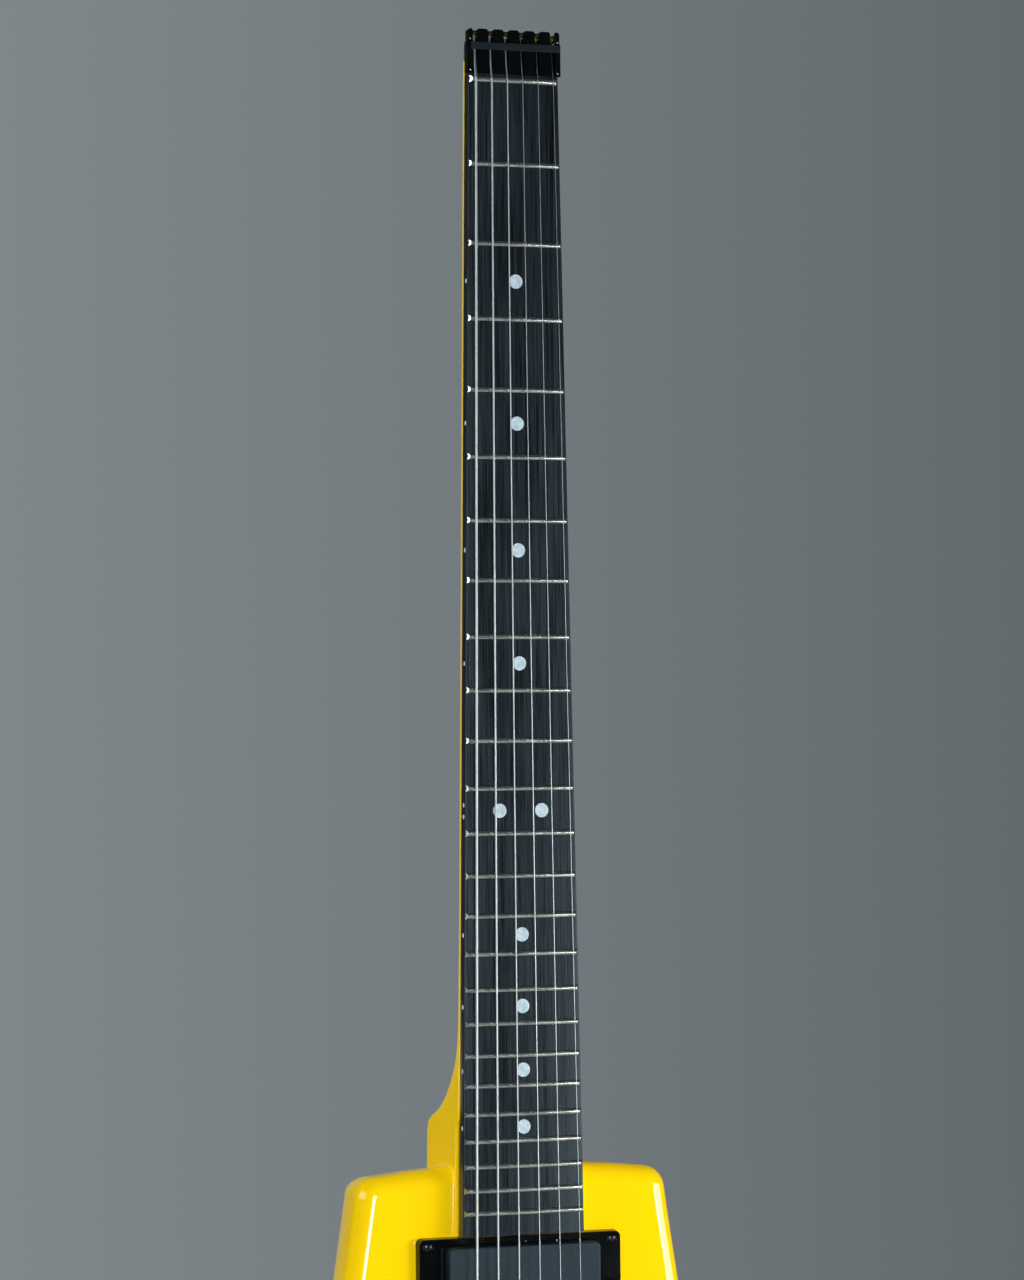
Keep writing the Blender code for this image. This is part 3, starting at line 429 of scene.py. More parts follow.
def loft(name, rings):
    """Skins rings of equal length, and closes both ends."""
    count = len(rings[0])
    points = [p for ring in rings for p in ring]
    faces = []
    for low in range(0, len(points) - count, count):
        for i in range(count):
            j = (i + 1) % count
            faces.append((low + i, low + j, low + count + j, low + count + i))
    faces.append(list(range(count)))
    faces.append(list(range(len(points) - count, len(points))))
    return shell(name, points, faces)


def prism(name, outline, axis, low, high):
    """An outline pulled along an axis."""
    return loft(name, [[spread(a, b, end, axis) for a, b in outline] for end in (low, high)])


def box(name, x, y, z):
    return prism(name, [(x[0], z[0]), (x[1], z[0]), (x[1], z[1]), (x[0], z[1])], "Y", y[0], y[1])


def turned(name, profile, centre, axis, sides=48):
    """A profile of radii and heights turned about an axis through the centre."""
    a, b = [centre[i] for i in PLANE[axis][:2]]
    turns = [(math.cos(math.tau * k / sides), math.sin(math.tau * k / sides)) for k in range(sides)]
    rings = [[spread(a + r * c, b + r * s, height, axis) for c, s in turns] for r, height in profile]
    return loft(name, rings)


def drill(radius, run, centre, axis, sides=48):
    """A straight round cutter, or with six sides a key, along an axis through the centre."""
    return turned("drill", [(radius, run[0]), (radius, run[1])], centre, axis, sides)


def swept(name, path, radius, sides=12):
    """A round section drawn along a path, without twist. The radius may be a list, one for each point."""
    path = [Vector(p) for p in path]
    radii = radius if isinstance(radius, list) else [radius] * len(path)
    side = Vector((1.0, 0.0, 0.0))
    rings = []
    for i, point in enumerate(path):
        ahead = (path[min(i + 1, len(path) - 1)] - path[max(i - 1, 0)]).normalized()
        side = (side - ahead * side.dot(ahead)).normalized()
        up = ahead.cross(side)
        steps = [math.tau * (k + 0.5) / sides for k in range(sides)]
        rings.append([point + (side * math.cos(t) + up * math.sin(t)) * radii[i] for t in steps])
    return loft(name, rings)


# %% [markdown]
# Most outlines are drawn the way a pattern maker draws them: straight runs, and a given radius at each
# corner.

# %% Outlines
def rounded(corners, steps=8):
    """The closed outline through corners (a, b, radius), with an arc at each."""
    outline = []
    for i, (a, b, radius) in enumerate(corners):
        here = Vector((a, b))
        if radius == 0:
            outline.append(here)
            continue
        back = (Vector(corners[i - 1][:2]) - here).normalized()
        ahead = (Vector(corners[(i + 1) % len(corners)][:2]) - here).normalized()
        half = back.angle(ahead) / 2
        centre = here + (back + ahead).normalized() * (radius / math.sin(half))
        start = here + back * (radius / math.tan(half)) - centre
        end = here + ahead * (radius / math.tan(half)) - centre
        outline += [centre + start.slerp(end, k / steps) * radius for k in range(steps + 1)]
    return outline


def rounded_box(size, centre, radius, steps=8):
    w, h = size[0] / 2, size[1] / 2
    a, b = centre
    signs = ((-1, -1), (1, -1), (1, 1), (-1, 1))
    return rounded([(a + sx * w, b + sz * h, radius) for sx, sz in signs], steps)


def both_sides(half, steps):
    """The outline whose right half runs through the given corners, and whose left half mirrors it."""
    return rounded(half + [(-a, b, radius) for a, b, radius in reversed(half)], steps)


def bezier(start, first, second, end, steps):
    """Points along a cubic curve, both ends included."""
    ends = [Vector(p) for p in (start, first, second, end)]
    points = []
    for k in range(steps + 1):
        t = k / steps
        weights = ((1 - t) ** 3, 3 * t * (1 - t) ** 2, 3 * t * t * (1 - t), t ** 3)
        points.append(sum((p * w for p, w in zip(ends, weights)), Vector([0.0] * len(start))))
    return points


# %% [markdown]
# ## Tools that refine a mesh
# A real edge is never a line: it is broken by a file, a mould radius or a layer of lacquer, and that thin
# round catches the light. So each piece gets a small Bevel on its corners, smooth shading between them,
# and normals weighted by face area, which keep its flats flat. Boolean steps are settled into the mesh at
# once, and their cutters are removed.

# %% Booleans, edges and finishes
def settle(obj):
    """The mesh as its modifiers leave it becomes the object's own mesh."""
    graph = bpy.context.evaluated_depsgraph_get()
    mesh = bpy.data.meshes.new_from_object(obj.evaluated_get(graph))
    obj.modifiers.clear()
    obj.data = mesh
    return obj


def combine(obj, operation, parts):
    for part in parts:
        step = obj.modifiers.new(operation, "BOOLEAN")
        step.operation = operation
        step.solver = "EXACT"
        step.object = part
    settle(obj)
    if not obj.data.polygons:
        raise ValueError(f"nothing is left of {obj.name}")
    for part in parts:
        bpy.data.objects.remove(part)
    return obj


def fuse(obj, *parts):
    return combine(obj, "UNION", parts)


def cut(obj, *parts):
    return combine(obj, "DIFFERENCE", parts)


def soften(obj, width, segments=3, angle=35.0):
    """Rounds the edges that are sharper than an angle."""
    step = obj.modifiers.new("edges", "BEVEL")
    step.width = width * MM
    step.segments = segments
    step.limit_method = "ANGLE"
    step.angle_limit = math.radians(angle)
    return settle(obj)


def shade(obj, angle=32.0):
    """Smooth shading, sharp only at real corners."""
    obj.data.shade_smooth()
    obj.data.set_sharp_from_angle(angle=math.radians(angle))
    step = obj.modifiers.new("flats", "WEIGHTED_NORMAL")
    step.keep_sharp = True
    return obj


def dress(obj, finish, body="root", stands_for=(), edge=0.0, angle=32.0):
    """Edges, shading, finish, and the body that the piece rides on."""
    if edge:
        soften(obj, edge)
    shade(obj, angle)
    obj.data.materials.clear()
    obj.data.materials.append(finish.material)
    if body:
        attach(obj, body)
    if stands_for:
        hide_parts(*stands_for)
    return obj


def joined(name, objects):
    """Several separate shells become one object."""
    work = bmesh.new()
    for obj in objects:
        work.from_mesh(obj.data)
        bpy.data.objects.remove(obj)
    return object_from(name, work)


# %% [markdown]
# ## Measures of the neck and the body
# These are the driving sizes of the drawing. A fret's place follows from the scale length alone: each one
# shortens the string by the twelfth root of two.

# %% Driving sizes
SCALE_LENGTH = 647.7
FRETS = 24
SADDLE_Z = 85.0
ZERO_Z = SADDLE_Z + SCALE_LENGTH
BOARD_TOP_Y = -49.0
BOARD_UNDER_Y = -43.1
BOARD_RADIUS = 355.6
BOARD_LOW_Z = ZERO_Z - 495.5
BOARD_HIGH_Z = ZERO_Z + 2.4
NUT_WIDTH = 41.0
LAST_WIDTH = 55.1
NECK_LEDGE, HEEL_LEDGE = 0.1, 0.95
WIDEN_FROM_Z, WIDEN_TO_Z = 360.0, 275.0
NECK_HIGH_Z = ZERO_Z + 8.5
BODY_FRONT_Y = -39.7
EDGE_RADIUS = 8.0
SHOULDER_Z = 266.0


def fret_z(number):
    return ZERO_Z - SCALE_LENGTH * (1 - 2 ** (-number / 12))


def board_half(z):
    """Half the board's width at a height."""
    share = (ZERO_Z - z) / (ZERO_Z - fret_z(FRETS))
    return (NUT_WIDTH + (LAST_WIDTH - NUT_WIDTH) * share) / 2


def eased(value, start, end):
    """Zero up to the start, one from the end on, and a soft run between them."""
    share = min(1.0, max(0.0, (value - start) / (end - start)))
    return share * share * (3 - 2 * share)


def neck_half(z):
    """Half the neck's width: it stands out a little from under the board."""
    share = eased(z, WIDEN_FROM_Z, WIDEN_TO_Z)
    return board_half(z) + NECK_LEDGE + (HEEL_LEDGE - NECK_LEDGE) * share


def crown(x):
    """How far the arched board has dropped at x."""
    return x * x / (2 * BOARD_RADIUS)


print("twelfth fret at", round(fret_z(12), 2), "last at", round(fret_z(FRETS), 2))

# %% [markdown]
# ## The body
# The body is a slab, sawn to a long tapered outline. Its front edge is a plain eight millimetre round.
# Behind that, the shoulders are carved back in one long sweep that starts right at the round, so the back
# edge lies nine millimetres in; lower down the sweep dies away into a plain round. Stacked outlines give
# all of it: each is the first one, moved inward by what the edge has lost at its depth.

# %% Body outlines
BACK_SWEEP = 9.0
SWEEP_FULL_Z, SWEEP_NONE_Z = 212.0, 184.0
SHOULDER_CORNERS = [(27.0, SHOULDER_Z, 0), (48.0, 264.4, 0), (69.6, 262.1, 10.0)]
SIDE_CURVE = ((71.8, 246.0), (82.9, 172.0), (96.0, 100.0), (98.5, 30.0))
TAIL_CORNER = (98.5, 0.0, 18.0)


def body_outline():
    side = [(p.x, p.y, 0) for p in bezier(*SIDE_CURVE, 40)]
    return both_sides(SHOULDER_CORNERS + side + [TAIL_CORNER], 14)


def inset(outline, amounts):
    """The outline moved inward, at each point by its own amount."""
    moved = []
    for i, amount in enumerate(amounts):
        here = Vector(outline[i])
        back = (here - Vector(outline[i - 1])).normalized()
        ahead = (Vector(outline[(i + 1) % len(outline)]) - here).normalized()
        out = Vector((-back.y - ahead.y, back.x + ahead.x)) / (1 + back.dot(ahead))
        moved.append(here - out * amount)
    return moved


def back_inset(y, z):
    """How far the back edge has come in at a depth and a height."""
    length = -BODY_FRONT_Y - EDGE_RADIUS
    sweep = BACK_SWEEP * (1 - math.sqrt(max(0.0, 1 - ((y + length) / length) ** 2)))
    plain = EDGE_RADIUS * (1 - math.sqrt(1 - max(0.0, (y + EDGE_RADIUS) / EDGE_RADIUS) ** 2))
    return plain + (sweep - plain) * eased(z, SWEEP_NONE_Z, SWEEP_FULL_Z)


def build_slab(front_steps=10, back_steps=20):
    outline = body_outline()
    rings = []
    for k in range(front_steps + 1):
        turn = math.pi / 2 * k / front_steps
        y = BODY_FRONT_Y + EDGE_RADIUS * (1 - math.cos(turn))
        lost = EDGE_RADIUS * (1 - math.sin(turn))
        rings.append([(x, y, z) for x, z in inset(outline, [lost] * len(outline))])
    for k in range(1, back_steps + 1):
        y = (BODY_FRONT_Y + EDGE_RADIUS) * math.cos(math.pi / 2 * k / back_steps)
        lost = [back_inset(y, z) for x, z in outline]
        rings.append([(x, y, z) for x, z in inset(outline, lost)])
    return loft("yellow_body", rings)


slab = build_slab()
print("slab faces:", len(slab.data.polygons))

# %% [markdown]
# ## The neck
# The neck is a shallow half oval for most of its length. Near the body it swells, in one sweeping curve,
# into a square heel as deep as the body. One Bezier gives its depth. A superellipse gives its sections:
# with an exponent of 2 it is an oval, and as the exponent grows it becomes a square with round corners.

# %% Neck sections
HEEL_CURVE = ((399.1, 16.4), (458.7, 15.7), (437.7, 43.1), (455.7, 43.1))
NUT_DEPTH = 14.0
OVAL, SQUARE = 2.0, 26.0
SQUARE_RUN, SQUARE_POWER = 24.0, 1.3
TENON_HIGH_Z, TENON_LOW_Z, TENON_SLOPE = 258.0, 237.2, 0.1
SECTION_STEPS, NECK_STEPS = 48, 8


def neck_section(z, depth, exponent):
    """One ring of the neck, from its treble edge round the back to its bass edge."""
    ring = []
    power = 2 / exponent
    for k in range(SECTION_STEPS + 1):
        turn = math.pi * k / SECTION_STEPS
        c, s = math.cos(turn), math.sin(turn)
        x = math.copysign(abs(c) ** power, c) * neck_half(z)
        ring.append((x, BOARD_UNDER_Y + depth * max(s, 0.0) ** power, z))
    return ring


def build_neck():
    rings = []
    start, plain_depth = HEEL_CURVE[0]
    end = ZERO_Z - NECK_HIGH_Z
    for k in range(NECK_STEPS + 1):
        t = end + (start - end) * k / NECK_STEPS
        depth = NUT_DEPTH + (plain_depth - NUT_DEPTH) * max(t, 0) / start
        rings.append(neck_section(ZERO_Z - t, depth, OVAL))
    for t, depth in bezier(*HEEL_CURVE, 40)[1:]:
        share = min(1.0, max(0.0, (depth - plain_depth) / SQUARE_RUN)) ** SQUARE_POWER
        rings.append(neck_section(ZERO_Z - t, depth, OVAL + (SQUARE - OVAL) * share))
    for z in (TENON_HIGH_Z, TENON_LOW_Z):
        rings.append(neck_section(z, -BOARD_UNDER_Y - (TENON_HIGH_Z - z) * TENON_SLOPE, SQUARE))
    return loft("neck_blank", rings)


neck_blank = build_neck()
print("neck faces:", len(neck_blank.data.polygons))

# %% [markdown]
# ## The fillet between neck and body
# Where the neck runs into the body, a tight hollow fillet leads from one to the other: beside the board
# on the front, over the shoulder's edge, and a little wider along the shoulder's top. It is a strip drawn
# along that junction. At each point two directions matter, out along the body and up from it, and a
# quarter circle joins them.

# %% Fillet strips
FRONT_FILLET = 0.8
TOP_FILLET = 1.4
FRONT_SEAM_Z = (237.0, 244.0, 251.0)
SHOULDER_SLOPE = 0.076
ARC_STEPS = 10
OVERLAP, SINK = 0.6, 0.015


def junction(steps=14):
    """Points (y, z), outward normals and radii along the seam between the neck and the body."""
    arc_z = SHOULDER_Z - EDGE_RADIUS
    for z in FRONT_SEAM_Z:
        yield BODY_FRONT_Y, z, (-1.0, 0.0), FRONT_FILLET
    for k in range(steps + 1):
        turn = math.pi / 2 * k / steps
        normal = (-math.cos(turn), math.sin(turn))
        y, z = BODY_FRONT_Y + EDGE_RADIUS * (1 + normal[0]), arc_z + EDGE_RADIUS * normal[1]
        yield y, z, normal, FRONT_FILLET + (TOP_FILLET - FRONT_FILLET) * k / steps
    length = -BODY_FRONT_Y - EDGE_RADIUS
    for k in range(1, steps):
        turn = math.pi / 2 * k / steps
        y, drop = -length * (1 - math.sin(turn)), BACK_SWEEP * (1 - math.cos(turn))
        normal = Vector((math.sin(turn) / length, math.cos(turn) / BACK_SWEEP)).normalized()
        yield y, SHOULDER_Z - drop, normal, TOP_FILLET


def fillet_strip(side):
    """Beside the wall of the neck, a hollow quarter circle from the wall down to the body."""
    rings = []
    for y, z, (ny, nz), radius in junction():
        foot = Vector((side * neck_half(z), y, z))
        up = Vector((0.0, ny, nz))
        out = Vector((side, 0.0, -SHOULDER_SLOPE * max(nz, 0.0)))
        ring = []
        for k in range(ARC_STEPS + 1):
            turn = math.pi / 2 * k / ARC_STEPS
            rise = out * (1 - math.sin(turn)) + up * (1 - math.cos(turn))
            ring.append(foot + rise * radius - (out + up) * SINK)
        ring += [foot + up * radius - out * OVERLAP, foot - (out + up) * OVERLAP]
        ring += [foot + out * radius - up * OVERLAP]
        rings.append(ring)
    return loft(f"fillet_{side}", rings)


fuse(slab, neck_blank, fillet_strip(-1), fillet_strip(1))
print("lacquered blank:", len(slab.data.polygons), "faces")

# %% [markdown]
# ## Routs and holes
# Each cutter is the room that a piece of hardware needs, a little larger than the piece. The places of
# the hardware are measures of the body, so they are stated here, where the body is routed, and used again
# for each piece.

# %% Places of the hardware
FRONT_OPEN_Y, BACK_OPEN_Y = -60.0, 20.0
POCKET_Y = -20.0
COVER_SEAT_Y = -2.5
STUD_X, STUD_Z = 35.5, 103.0
MIDDLE_PICKUP_Z = 174.0
CONTROL_X = 61.0
VOLUME_Z, TONE_Z, SELECTOR_Z = 120.0, 82.0, 156.0
JACK = (66.0, -19.0, 0.0)
LOCK_X, LOCK_Z = -47.0, 70.0
CLAW_SCREW_X, CLAW_SCREW_Y = 9.0, -10.0
ROD_NUT = (0.0, -37.5, 0.0)
SPRING_COVER = (0.0, 131.0)
CONTROL_COVER = (61.0, 110.0)
LEG_LOW, LEG_HIGH = Vector((96.7, 0.0, 30.0)), Vector((87.2, 0.0, 142.0))
LEG_ALONG = (LEG_HIGH - LEG_LOW).normalized()
LEG_OUT = Vector((LEG_ALONG.z, 0.0, -LEG_ALONG.x))
LEG_HINGE = Vector((0, -12.5, 0)) - LEG_OUT * 3.5


def ring_middle(node):
    """The height of a pickup's centre in millimetres, from the box of its ring in the frame."""
    low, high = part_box(node)
    return (low.z + high.z) / 2 / MM


def along_leg(name, outline, start, end):
    """An outline (out, y) drawn along the leg rest, between two offsets from its ends."""
    rings = []
    for foot in (LEG_LOW + LEG_ALONG * start, LEG_HIGH + LEG_ALONG * end):
        rings.append([foot + LEG_OUT * a + Vector((0, b, 0)) for a, b in outline])
    return loft(name, rings)


print("pickup centres:", [round(ring_middle(n), 1) for n in ("neck_pickup_ring", "bridge_pickup_ring")])

# %% [markdown]
# The notch at the tail is where fingers reach the tuner knobs, so its inner corners are round. The spring
# cavity and the control cavity are open at the back, and each has a shallow seat for its cover. The leg
# rest lies in a long rebate in the treble side.

# %% Routing the body
NOTCH_HALF = [(48.0, -20, 0), (48.0, 0, 0), (42.0, 0, 6.0), (42.0, 30.0, 6.0)]
LEG_REBATE = [(-7.3, -30.3), (12, -30.3), (12, -8.7), (-7.3, -8.7)]


def cavity_cutters():
    through, pocket = (FRONT_OPEN_Y, BACK_OPEN_Y), (FRONT_OPEN_Y, POCKET_Y)
    seat = (COVER_SEAT_Y, BACK_OPEN_Y)
    yield prism("notch", both_sides(NOTCH_HALF, 10), "Y", *through)
    yield box("bridge_recess", (-42.4, 42.4), (FRONT_OPEN_Y, -25), (-10, 97))
    yield box("plate_recess", (-42.4, 42.4), (FRONT_OPEN_Y, -38), (90, 109))
    yield box("block_slot", (-32.5, 32.5), through, (74, 107))
    yield box("spring_cavity", (-32.5, 32.5), (-17, BACK_OPEN_Y), (72, 190))
    yield prism("spring_cover_seat", rounded_box((72.6, 126.6), SPRING_COVER, 6), "Y", *seat)
    yield box("control_cavity", (50, 72), (-32, BACK_OPEN_Y), (44, 176))
    yield prism("control_cover_seat", rounded_box((28.6, 138.6), CONTROL_COVER, 5), "Y", *seat)
    for node in ("neck_pickup_ring", "bridge_pickup_ring"):
        yield prism(node + "_rout", rounded_box((72, 39), (0, ring_middle(node)), 3), "Y", *pocket)
    yield prism("middle_rout", rounded_box((84.4, 19.4), (0, MIDDLE_PICKUP_Z), 8.9, 12), "Y", *pocket)


def hole_cutters():
    for side in (-1, 1):
        yield drill(5.3, (FRONT_OPEN_Y, -17), (side * STUD_X, 0, STUD_Z), "Y")
        yield drill(2.1, (180, 206), (side * CLAW_SCREW_X, CLAW_SCREW_Y, 0), "Z", 24)
    for z in (VOLUME_Z, TONE_Z):
        yield drill(4.6, (FRONT_OPEN_Y, POCKET_Y), (CONTROL_X, 0, z), "Y")
    slot_x, slot_z = (CONTROL_X - 1.6, CONTROL_X + 1.6), (SELECTOR_Z - 9, SELECTOR_Z + 9)
    yield box("selector_slot", slot_x, (FRONT_OPEN_Y, POCKET_Y), slot_z)
    yield drill(8.5, (-20, 60), JACK, "Z")
    yield drill(2.3, (FRONT_OPEN_Y, -24), (LOCK_X, 0, LOCK_Z), "Y", 24)
    yield box("rod_slot", (-3, 3), (-48, -34.1), (230, ZERO_Z - 12))
    yield drill(5.5, (230, 249), ROD_NUT, "Z", 32)
    yield along_leg("leg_rebate", LEG_REBATE, -0.3, 0.3)
    bore = [LEG_LOW - LEG_ALONG * 6.5 + LEG_HINGE, LEG_HIGH + LEG_ALONG * 6.5 + LEG_HINGE]
    yield swept("leg_bore", bore, 1.9, 24)


cut(slab, *cavity_cutters(), *hole_cutters())
dress(slab, lacquer, stands_for=("body", "neck"), angle=38.0)
slab.name = "lacquered_body_and_neck"
print("routed body:", len(slab.data.polygons), "faces")

# %% [markdown]
# ## Fingerboard
# The board is a long strip with a cylindrical crown of 14 inches, and its upper corners are eased so that
# a hand can slide along them. Its section is drawn once and skinned from end to end.

# %% Board
BOARD_EASE = 0.5
CROWN_STEPS, EASE_STEPS = 24, 4


def board_section(z):
    """An arched top between two eased corners, and a flat underside."""
    half = board_half(z)
    ring = []
    for k in range(CROWN_STEPS + 1):
        x = (half - BOARD_EASE) * (2 * k / CROWN_STEPS - 1)
        ring.append((x, BOARD_TOP_Y + crown(x), z))
    for k in range(1, EASE_STEPS + 1):
        turn = math.pi / 2 * k / EASE_STEPS
        x = half - BOARD_EASE + BOARD_EASE * math.sin(turn)
        ring.append((x, BOARD_TOP_Y + crown(half) + BOARD_EASE * (1 - math.cos(turn)), z))
    ring += [(half, BOARD_UNDER_Y, z), (-half, BOARD_UNDER_Y, z)]
    eased_corner = ring[CROWN_STEPS + 1:CROWN_STEPS + 1 + EASE_STEPS]
    return ring + [(-x, y, z) for x, y, z in reversed(eased_corner)]


board = loft("slate_fingerboard", [board_section(z) for z in (BOARD_LOW_Z, BOARD_HIGH_Z)])
dress(board, slate, stands_for=("fingerboard",))
print("board widths:", [round(2 * board_half(z), 2) for z in (BOARD_HIGH_Z, BOARD_LOW_Z)])

# %% [markdown]
# ## Frets
# A fret is a wire with a round crown, pressed into a slot and filed at both ends to a slope of about 35
# degrees. The crown is a half ellipse drawn across the arched board. Its end rings lean inward as they
# rise, which leaves the flat, bright facet that a file makes.

# %% Fret wires
FRET_WIDTH = 2.5
FRET_HEIGHT = 1.1
ZERO_WIDTH = 2.8
ZERO_HEIGHT = 1.35
CROWN_POINTS, CROWN_POWER = 14, 0.85
WIRE_STEPS = 12
END_GAP, END_LEAN = 0.3, 0.85
TANG_DEPTH, TANG_SHARE = 0.6, 0.2


def fret_wire(name, z, width, height):
    half = board_half(z) - END_GAP
    rings = []
    for step in range(WIRE_STEPS + 1):
        along = half * (2 * step / WIRE_STEPS - 1)
        ring = []
        for k in range(CROWN_POINTS + 1):
            turn = math.pi * k / CROWN_POINTS
            lift = height * math.sin(turn) ** CROWN_POWER
            reach = half - END_LEAN * lift
            x = max(-reach, min(reach, along))
            ring.append((x, BOARD_TOP_Y + crown(x) - lift, z + width / 2 * math.cos(turn)))
        root_y = BOARD_TOP_Y + crown(along) + TANG_DEPTH
        ring += [(along, root_y, z - width * TANG_SHARE), (along, root_y, z + width * TANG_SHARE)]
        rings.append(ring)
    return loft(name, rings)


wires = [fret_wire(f"fret_{n}", fret_z(n), FRET_WIDTH, FRET_HEIGHT) for n in range(1, FRETS + 1)]
frets = joined("fret_wires", wires)
dress(frets, fret_metal, stands_for=("fingerboard",), angle=28.0)
zero_fret = fret_wire("zero_fret_wire", ZERO_Z, ZERO_WIDTH, ZERO_HEIGHT)
dress(zero_fret, fret_metal, stands_for=("zero_fret",), angle=28.0)
print("fret wires:", len(wires) + 1)

# %% [markdown]
# ## Position dots
# Dots of pearly plastic are let into the board and sanded level with it, so each follows the crown. A
# player also sees small ones on the edge of the board that faces up. They stand halfway between two
# frets.

# %% Face and side dots
DOT_FRETS = (3, 5, 7, 9, 12, 15, 17, 19, 21)
DOUBLE_FRET = 12
DOT_RADIUS = 3.05
DOUBLE_X = 9.6
SIDE_DOT_RADIUS = 1.0
SIDE_DOT_Y = -46.3
SIDE_DOT_SHIFT = 2.5
PROUD = 0.03
FACE_PROFILE = ((DOT_RADIUS, -0.8), (DOT_RADIUS, PROUD * 0.4), (DOT_RADIUS - 0.06, PROUD), (1.5, PROUD),
                (0.1, PROUD))
SIDE_PROFILE = ((SIDE_DOT_RADIUS, -0.6), (SIDE_DOT_RADIUS, PROUD * 0.5), (SIDE_DOT_RADIUS - 0.1, PROUD))
DOT_STEPS = 40


def between_frets(number):
    return (fret_z(number) + fret_z(number - 1)) / 2


def face_dot(x, z):
    rings = []
    for radius, lift in FACE_PROFILE:
        ring = []
        for k in range(DOT_STEPS):
            turn = math.tau * k / DOT_STEPS
            px = x + radius * math.cos(turn)
            ring.append((px, BOARD_TOP_Y + crown(px) - lift, z + radius * math.sin(turn)))
        rings.append(ring)
    return loft("dot", rings)


def side_dot(z):
    profile = [(radius, -board_half(z) - lift) for radius, lift in SIDE_PROFILE]
    return turned("side_dot", profile, (0, SIDE_DOT_Y, z), "X", 24)


dots = []
side_dots = []
for number in DOT_FRETS:
    middle = between_frets(number)
    double = number == DOUBLE_FRET
    dots += [face_dot(x, middle) for x in ((-DOUBLE_X, DOUBLE_X) if double else (0.0,))]
    shifts = (-SIDE_DOT_SHIFT, SIDE_DOT_SHIFT) if double else (0.0,)
    side_dots += [side_dot(middle + shift) for shift in shifts]
print("dots:", len(dots), "on the face and", len(side_dots), "on the edge")
dress(joined("face_dots", dots), pearl, stands_for=("fingerboard",))
dress(joined("side_dots", side_dots), side_pearl, stands_for=("fingerboard",))

# %% [markdown]
# ## Headpiece
# With no machine heads up here, the headpiece only holds the strings' ball ends. It is a black block with
# six T-shaped slots: each ball drops into a room behind the front fingers, and its string leaves through
# the slit between them. The fingers and the plate behind them are prisms. The foot that is screwed to the
# neck is a loft, half an oval like the neck's own end. All are fused, and then the rooms are cut.

# %% Headpiece block
STRINGS = 6
NUT_PITCH = 7.12
SADDLE_PITCH = 10.04
HEAD_LOW, HEAD_HIGH = BOARD_HIGH_Z + 0.1, ZERO_Z + 21.7
HEAD_HALF = 21.4
HEAD_STEP_Z = ZERO_Z + 16.2
HEAD_FRONT_Y, HEAD_MIDDLE_Y, HEAD_BACK_Y = -49.4, -46.2, -31.0
HEAD_PLATE_HALF, PLATE_ROUND = HEAD_HALF - 1.6, 3
SLIT = 1.0
STEP, STEP_ROUND = 0.4, 0.3
INNER_ROUND, FINGER_ROUND, OUTER_ROUND = 0.75, 1.2, 1.35
FOOT_HALF, FOOT_STEPS = 20.2, 32
FOOT_FRONT_Y = -44.4
FOOT_END = ((3.0, 0.0), (1.0, 1.2), (0.0, 3.2))
ROOM_HALF, ROOM_Y, ROOM_LOW_Z = 2.2, (-48.7, -44.1), 749.2


def string_x(number, pitch):
    return pitch * ((STRINGS + 1) / 2 - number)


def head_finger(left, right):
    """One finger between two slits. The outer two have a small step, and the block's big round corner."""
    outline = [(left, HEAD_LOW, 0), (right, HEAD_LOW, 0)]
    if right == HEAD_HALF:
        outline += [(right, HEAD_STEP_Z, STEP_ROUND), (right - STEP, HEAD_STEP_Z + STEP, STEP_ROUND)]
        outline += [(right - STEP, HEAD_HIGH, OUTER_ROUND), (left, HEAD_HIGH, INNER_ROUND)]
    elif left == -HEAD_HALF:
        outline += [(right, HEAD_HIGH, INNER_ROUND), (left + STEP, HEAD_HIGH, OUTER_ROUND)]
        outline += [(left + STEP, HEAD_STEP_Z + STEP, STEP_ROUND), (left, HEAD_STEP_Z, STEP_ROUND)]
    else:
        outline += [(right, HEAD_HIGH, FINGER_ROUND), (left, HEAD_HIGH, FINGER_ROUND)]
    return prism("finger", rounded(outline, 6), "Y", HEAD_MIDDLE_Y + 0.1, HEAD_FRONT_Y)


def foot_section(z, less):
    """Half an oval behind the block, like the neck's own end, smaller by an amount."""
    half, depth = FOOT_HALF - less, HEAD_BACK_Y - BOARD_UNDER_Y - less
    turns = [math.pi * k / FOOT_STEPS for k in range(FOOT_STEPS + 1)]
    arc = [(half * math.cos(t), BOARD_UNDER_Y + depth * math.sin(t), z) for t in turns]
    return arc + [(-half, FOOT_FRONT_Y, z), (half, FOOT_FRONT_Y, z)]


def build_headpiece():
    slits = [string_x(n, NUT_PITCH) for n in range(STRINGS, 0, -1)]
    lefts = [-HEAD_HALF] + [x + SLIT for x in slits]
    rights = [x - SLIT for x in slits] + [HEAD_HALF]
    half, top = HEAD_PLATE_HALF, HEAD_HIGH - PLATE_ROUND
    outline = [(-half, HEAD_LOW, 0), (half, HEAD_LOW, 0), (half, HEAD_HIGH, PLATE_ROUND)]
    outline = rounded(outline + [(-half, HEAD_HIGH, PLATE_ROUND)])
    block = prism("headpiece_block", outline, "Y", HEAD_MIDDLE_Y, BOARD_UNDER_Y - 0.2)
    sections = [foot_section(NECK_HIGH_Z + 0.1, 0.0)]
    sections += [foot_section(top - drop, less) for drop, less in FOOT_END]
    fuse(block, loft("foot", sections), *[head_finger(a, b) for a, b in zip(lefts, rights)])
    rooms = [box("room", (x - ROOM_HALF, x + ROOM_HALF), ROOM_Y, (ROOM_LOW_Z, HEAD_HIGH + 5)) for x in slits]
    return cut(block, *rooms)


headpiece = build_headpiece()
dress(headpiece, black_metal, stands_for=("headpiece",), edge=0.3)
print("headpiece:", len(headpiece.data.polygons), "faces")

# %% [markdown]
# A satin bar lies across the fingers and keeps the strings down. Two pairs of small bright pins stand
# beside the slits: they are domes less than a millimetre across, but they catch the light.

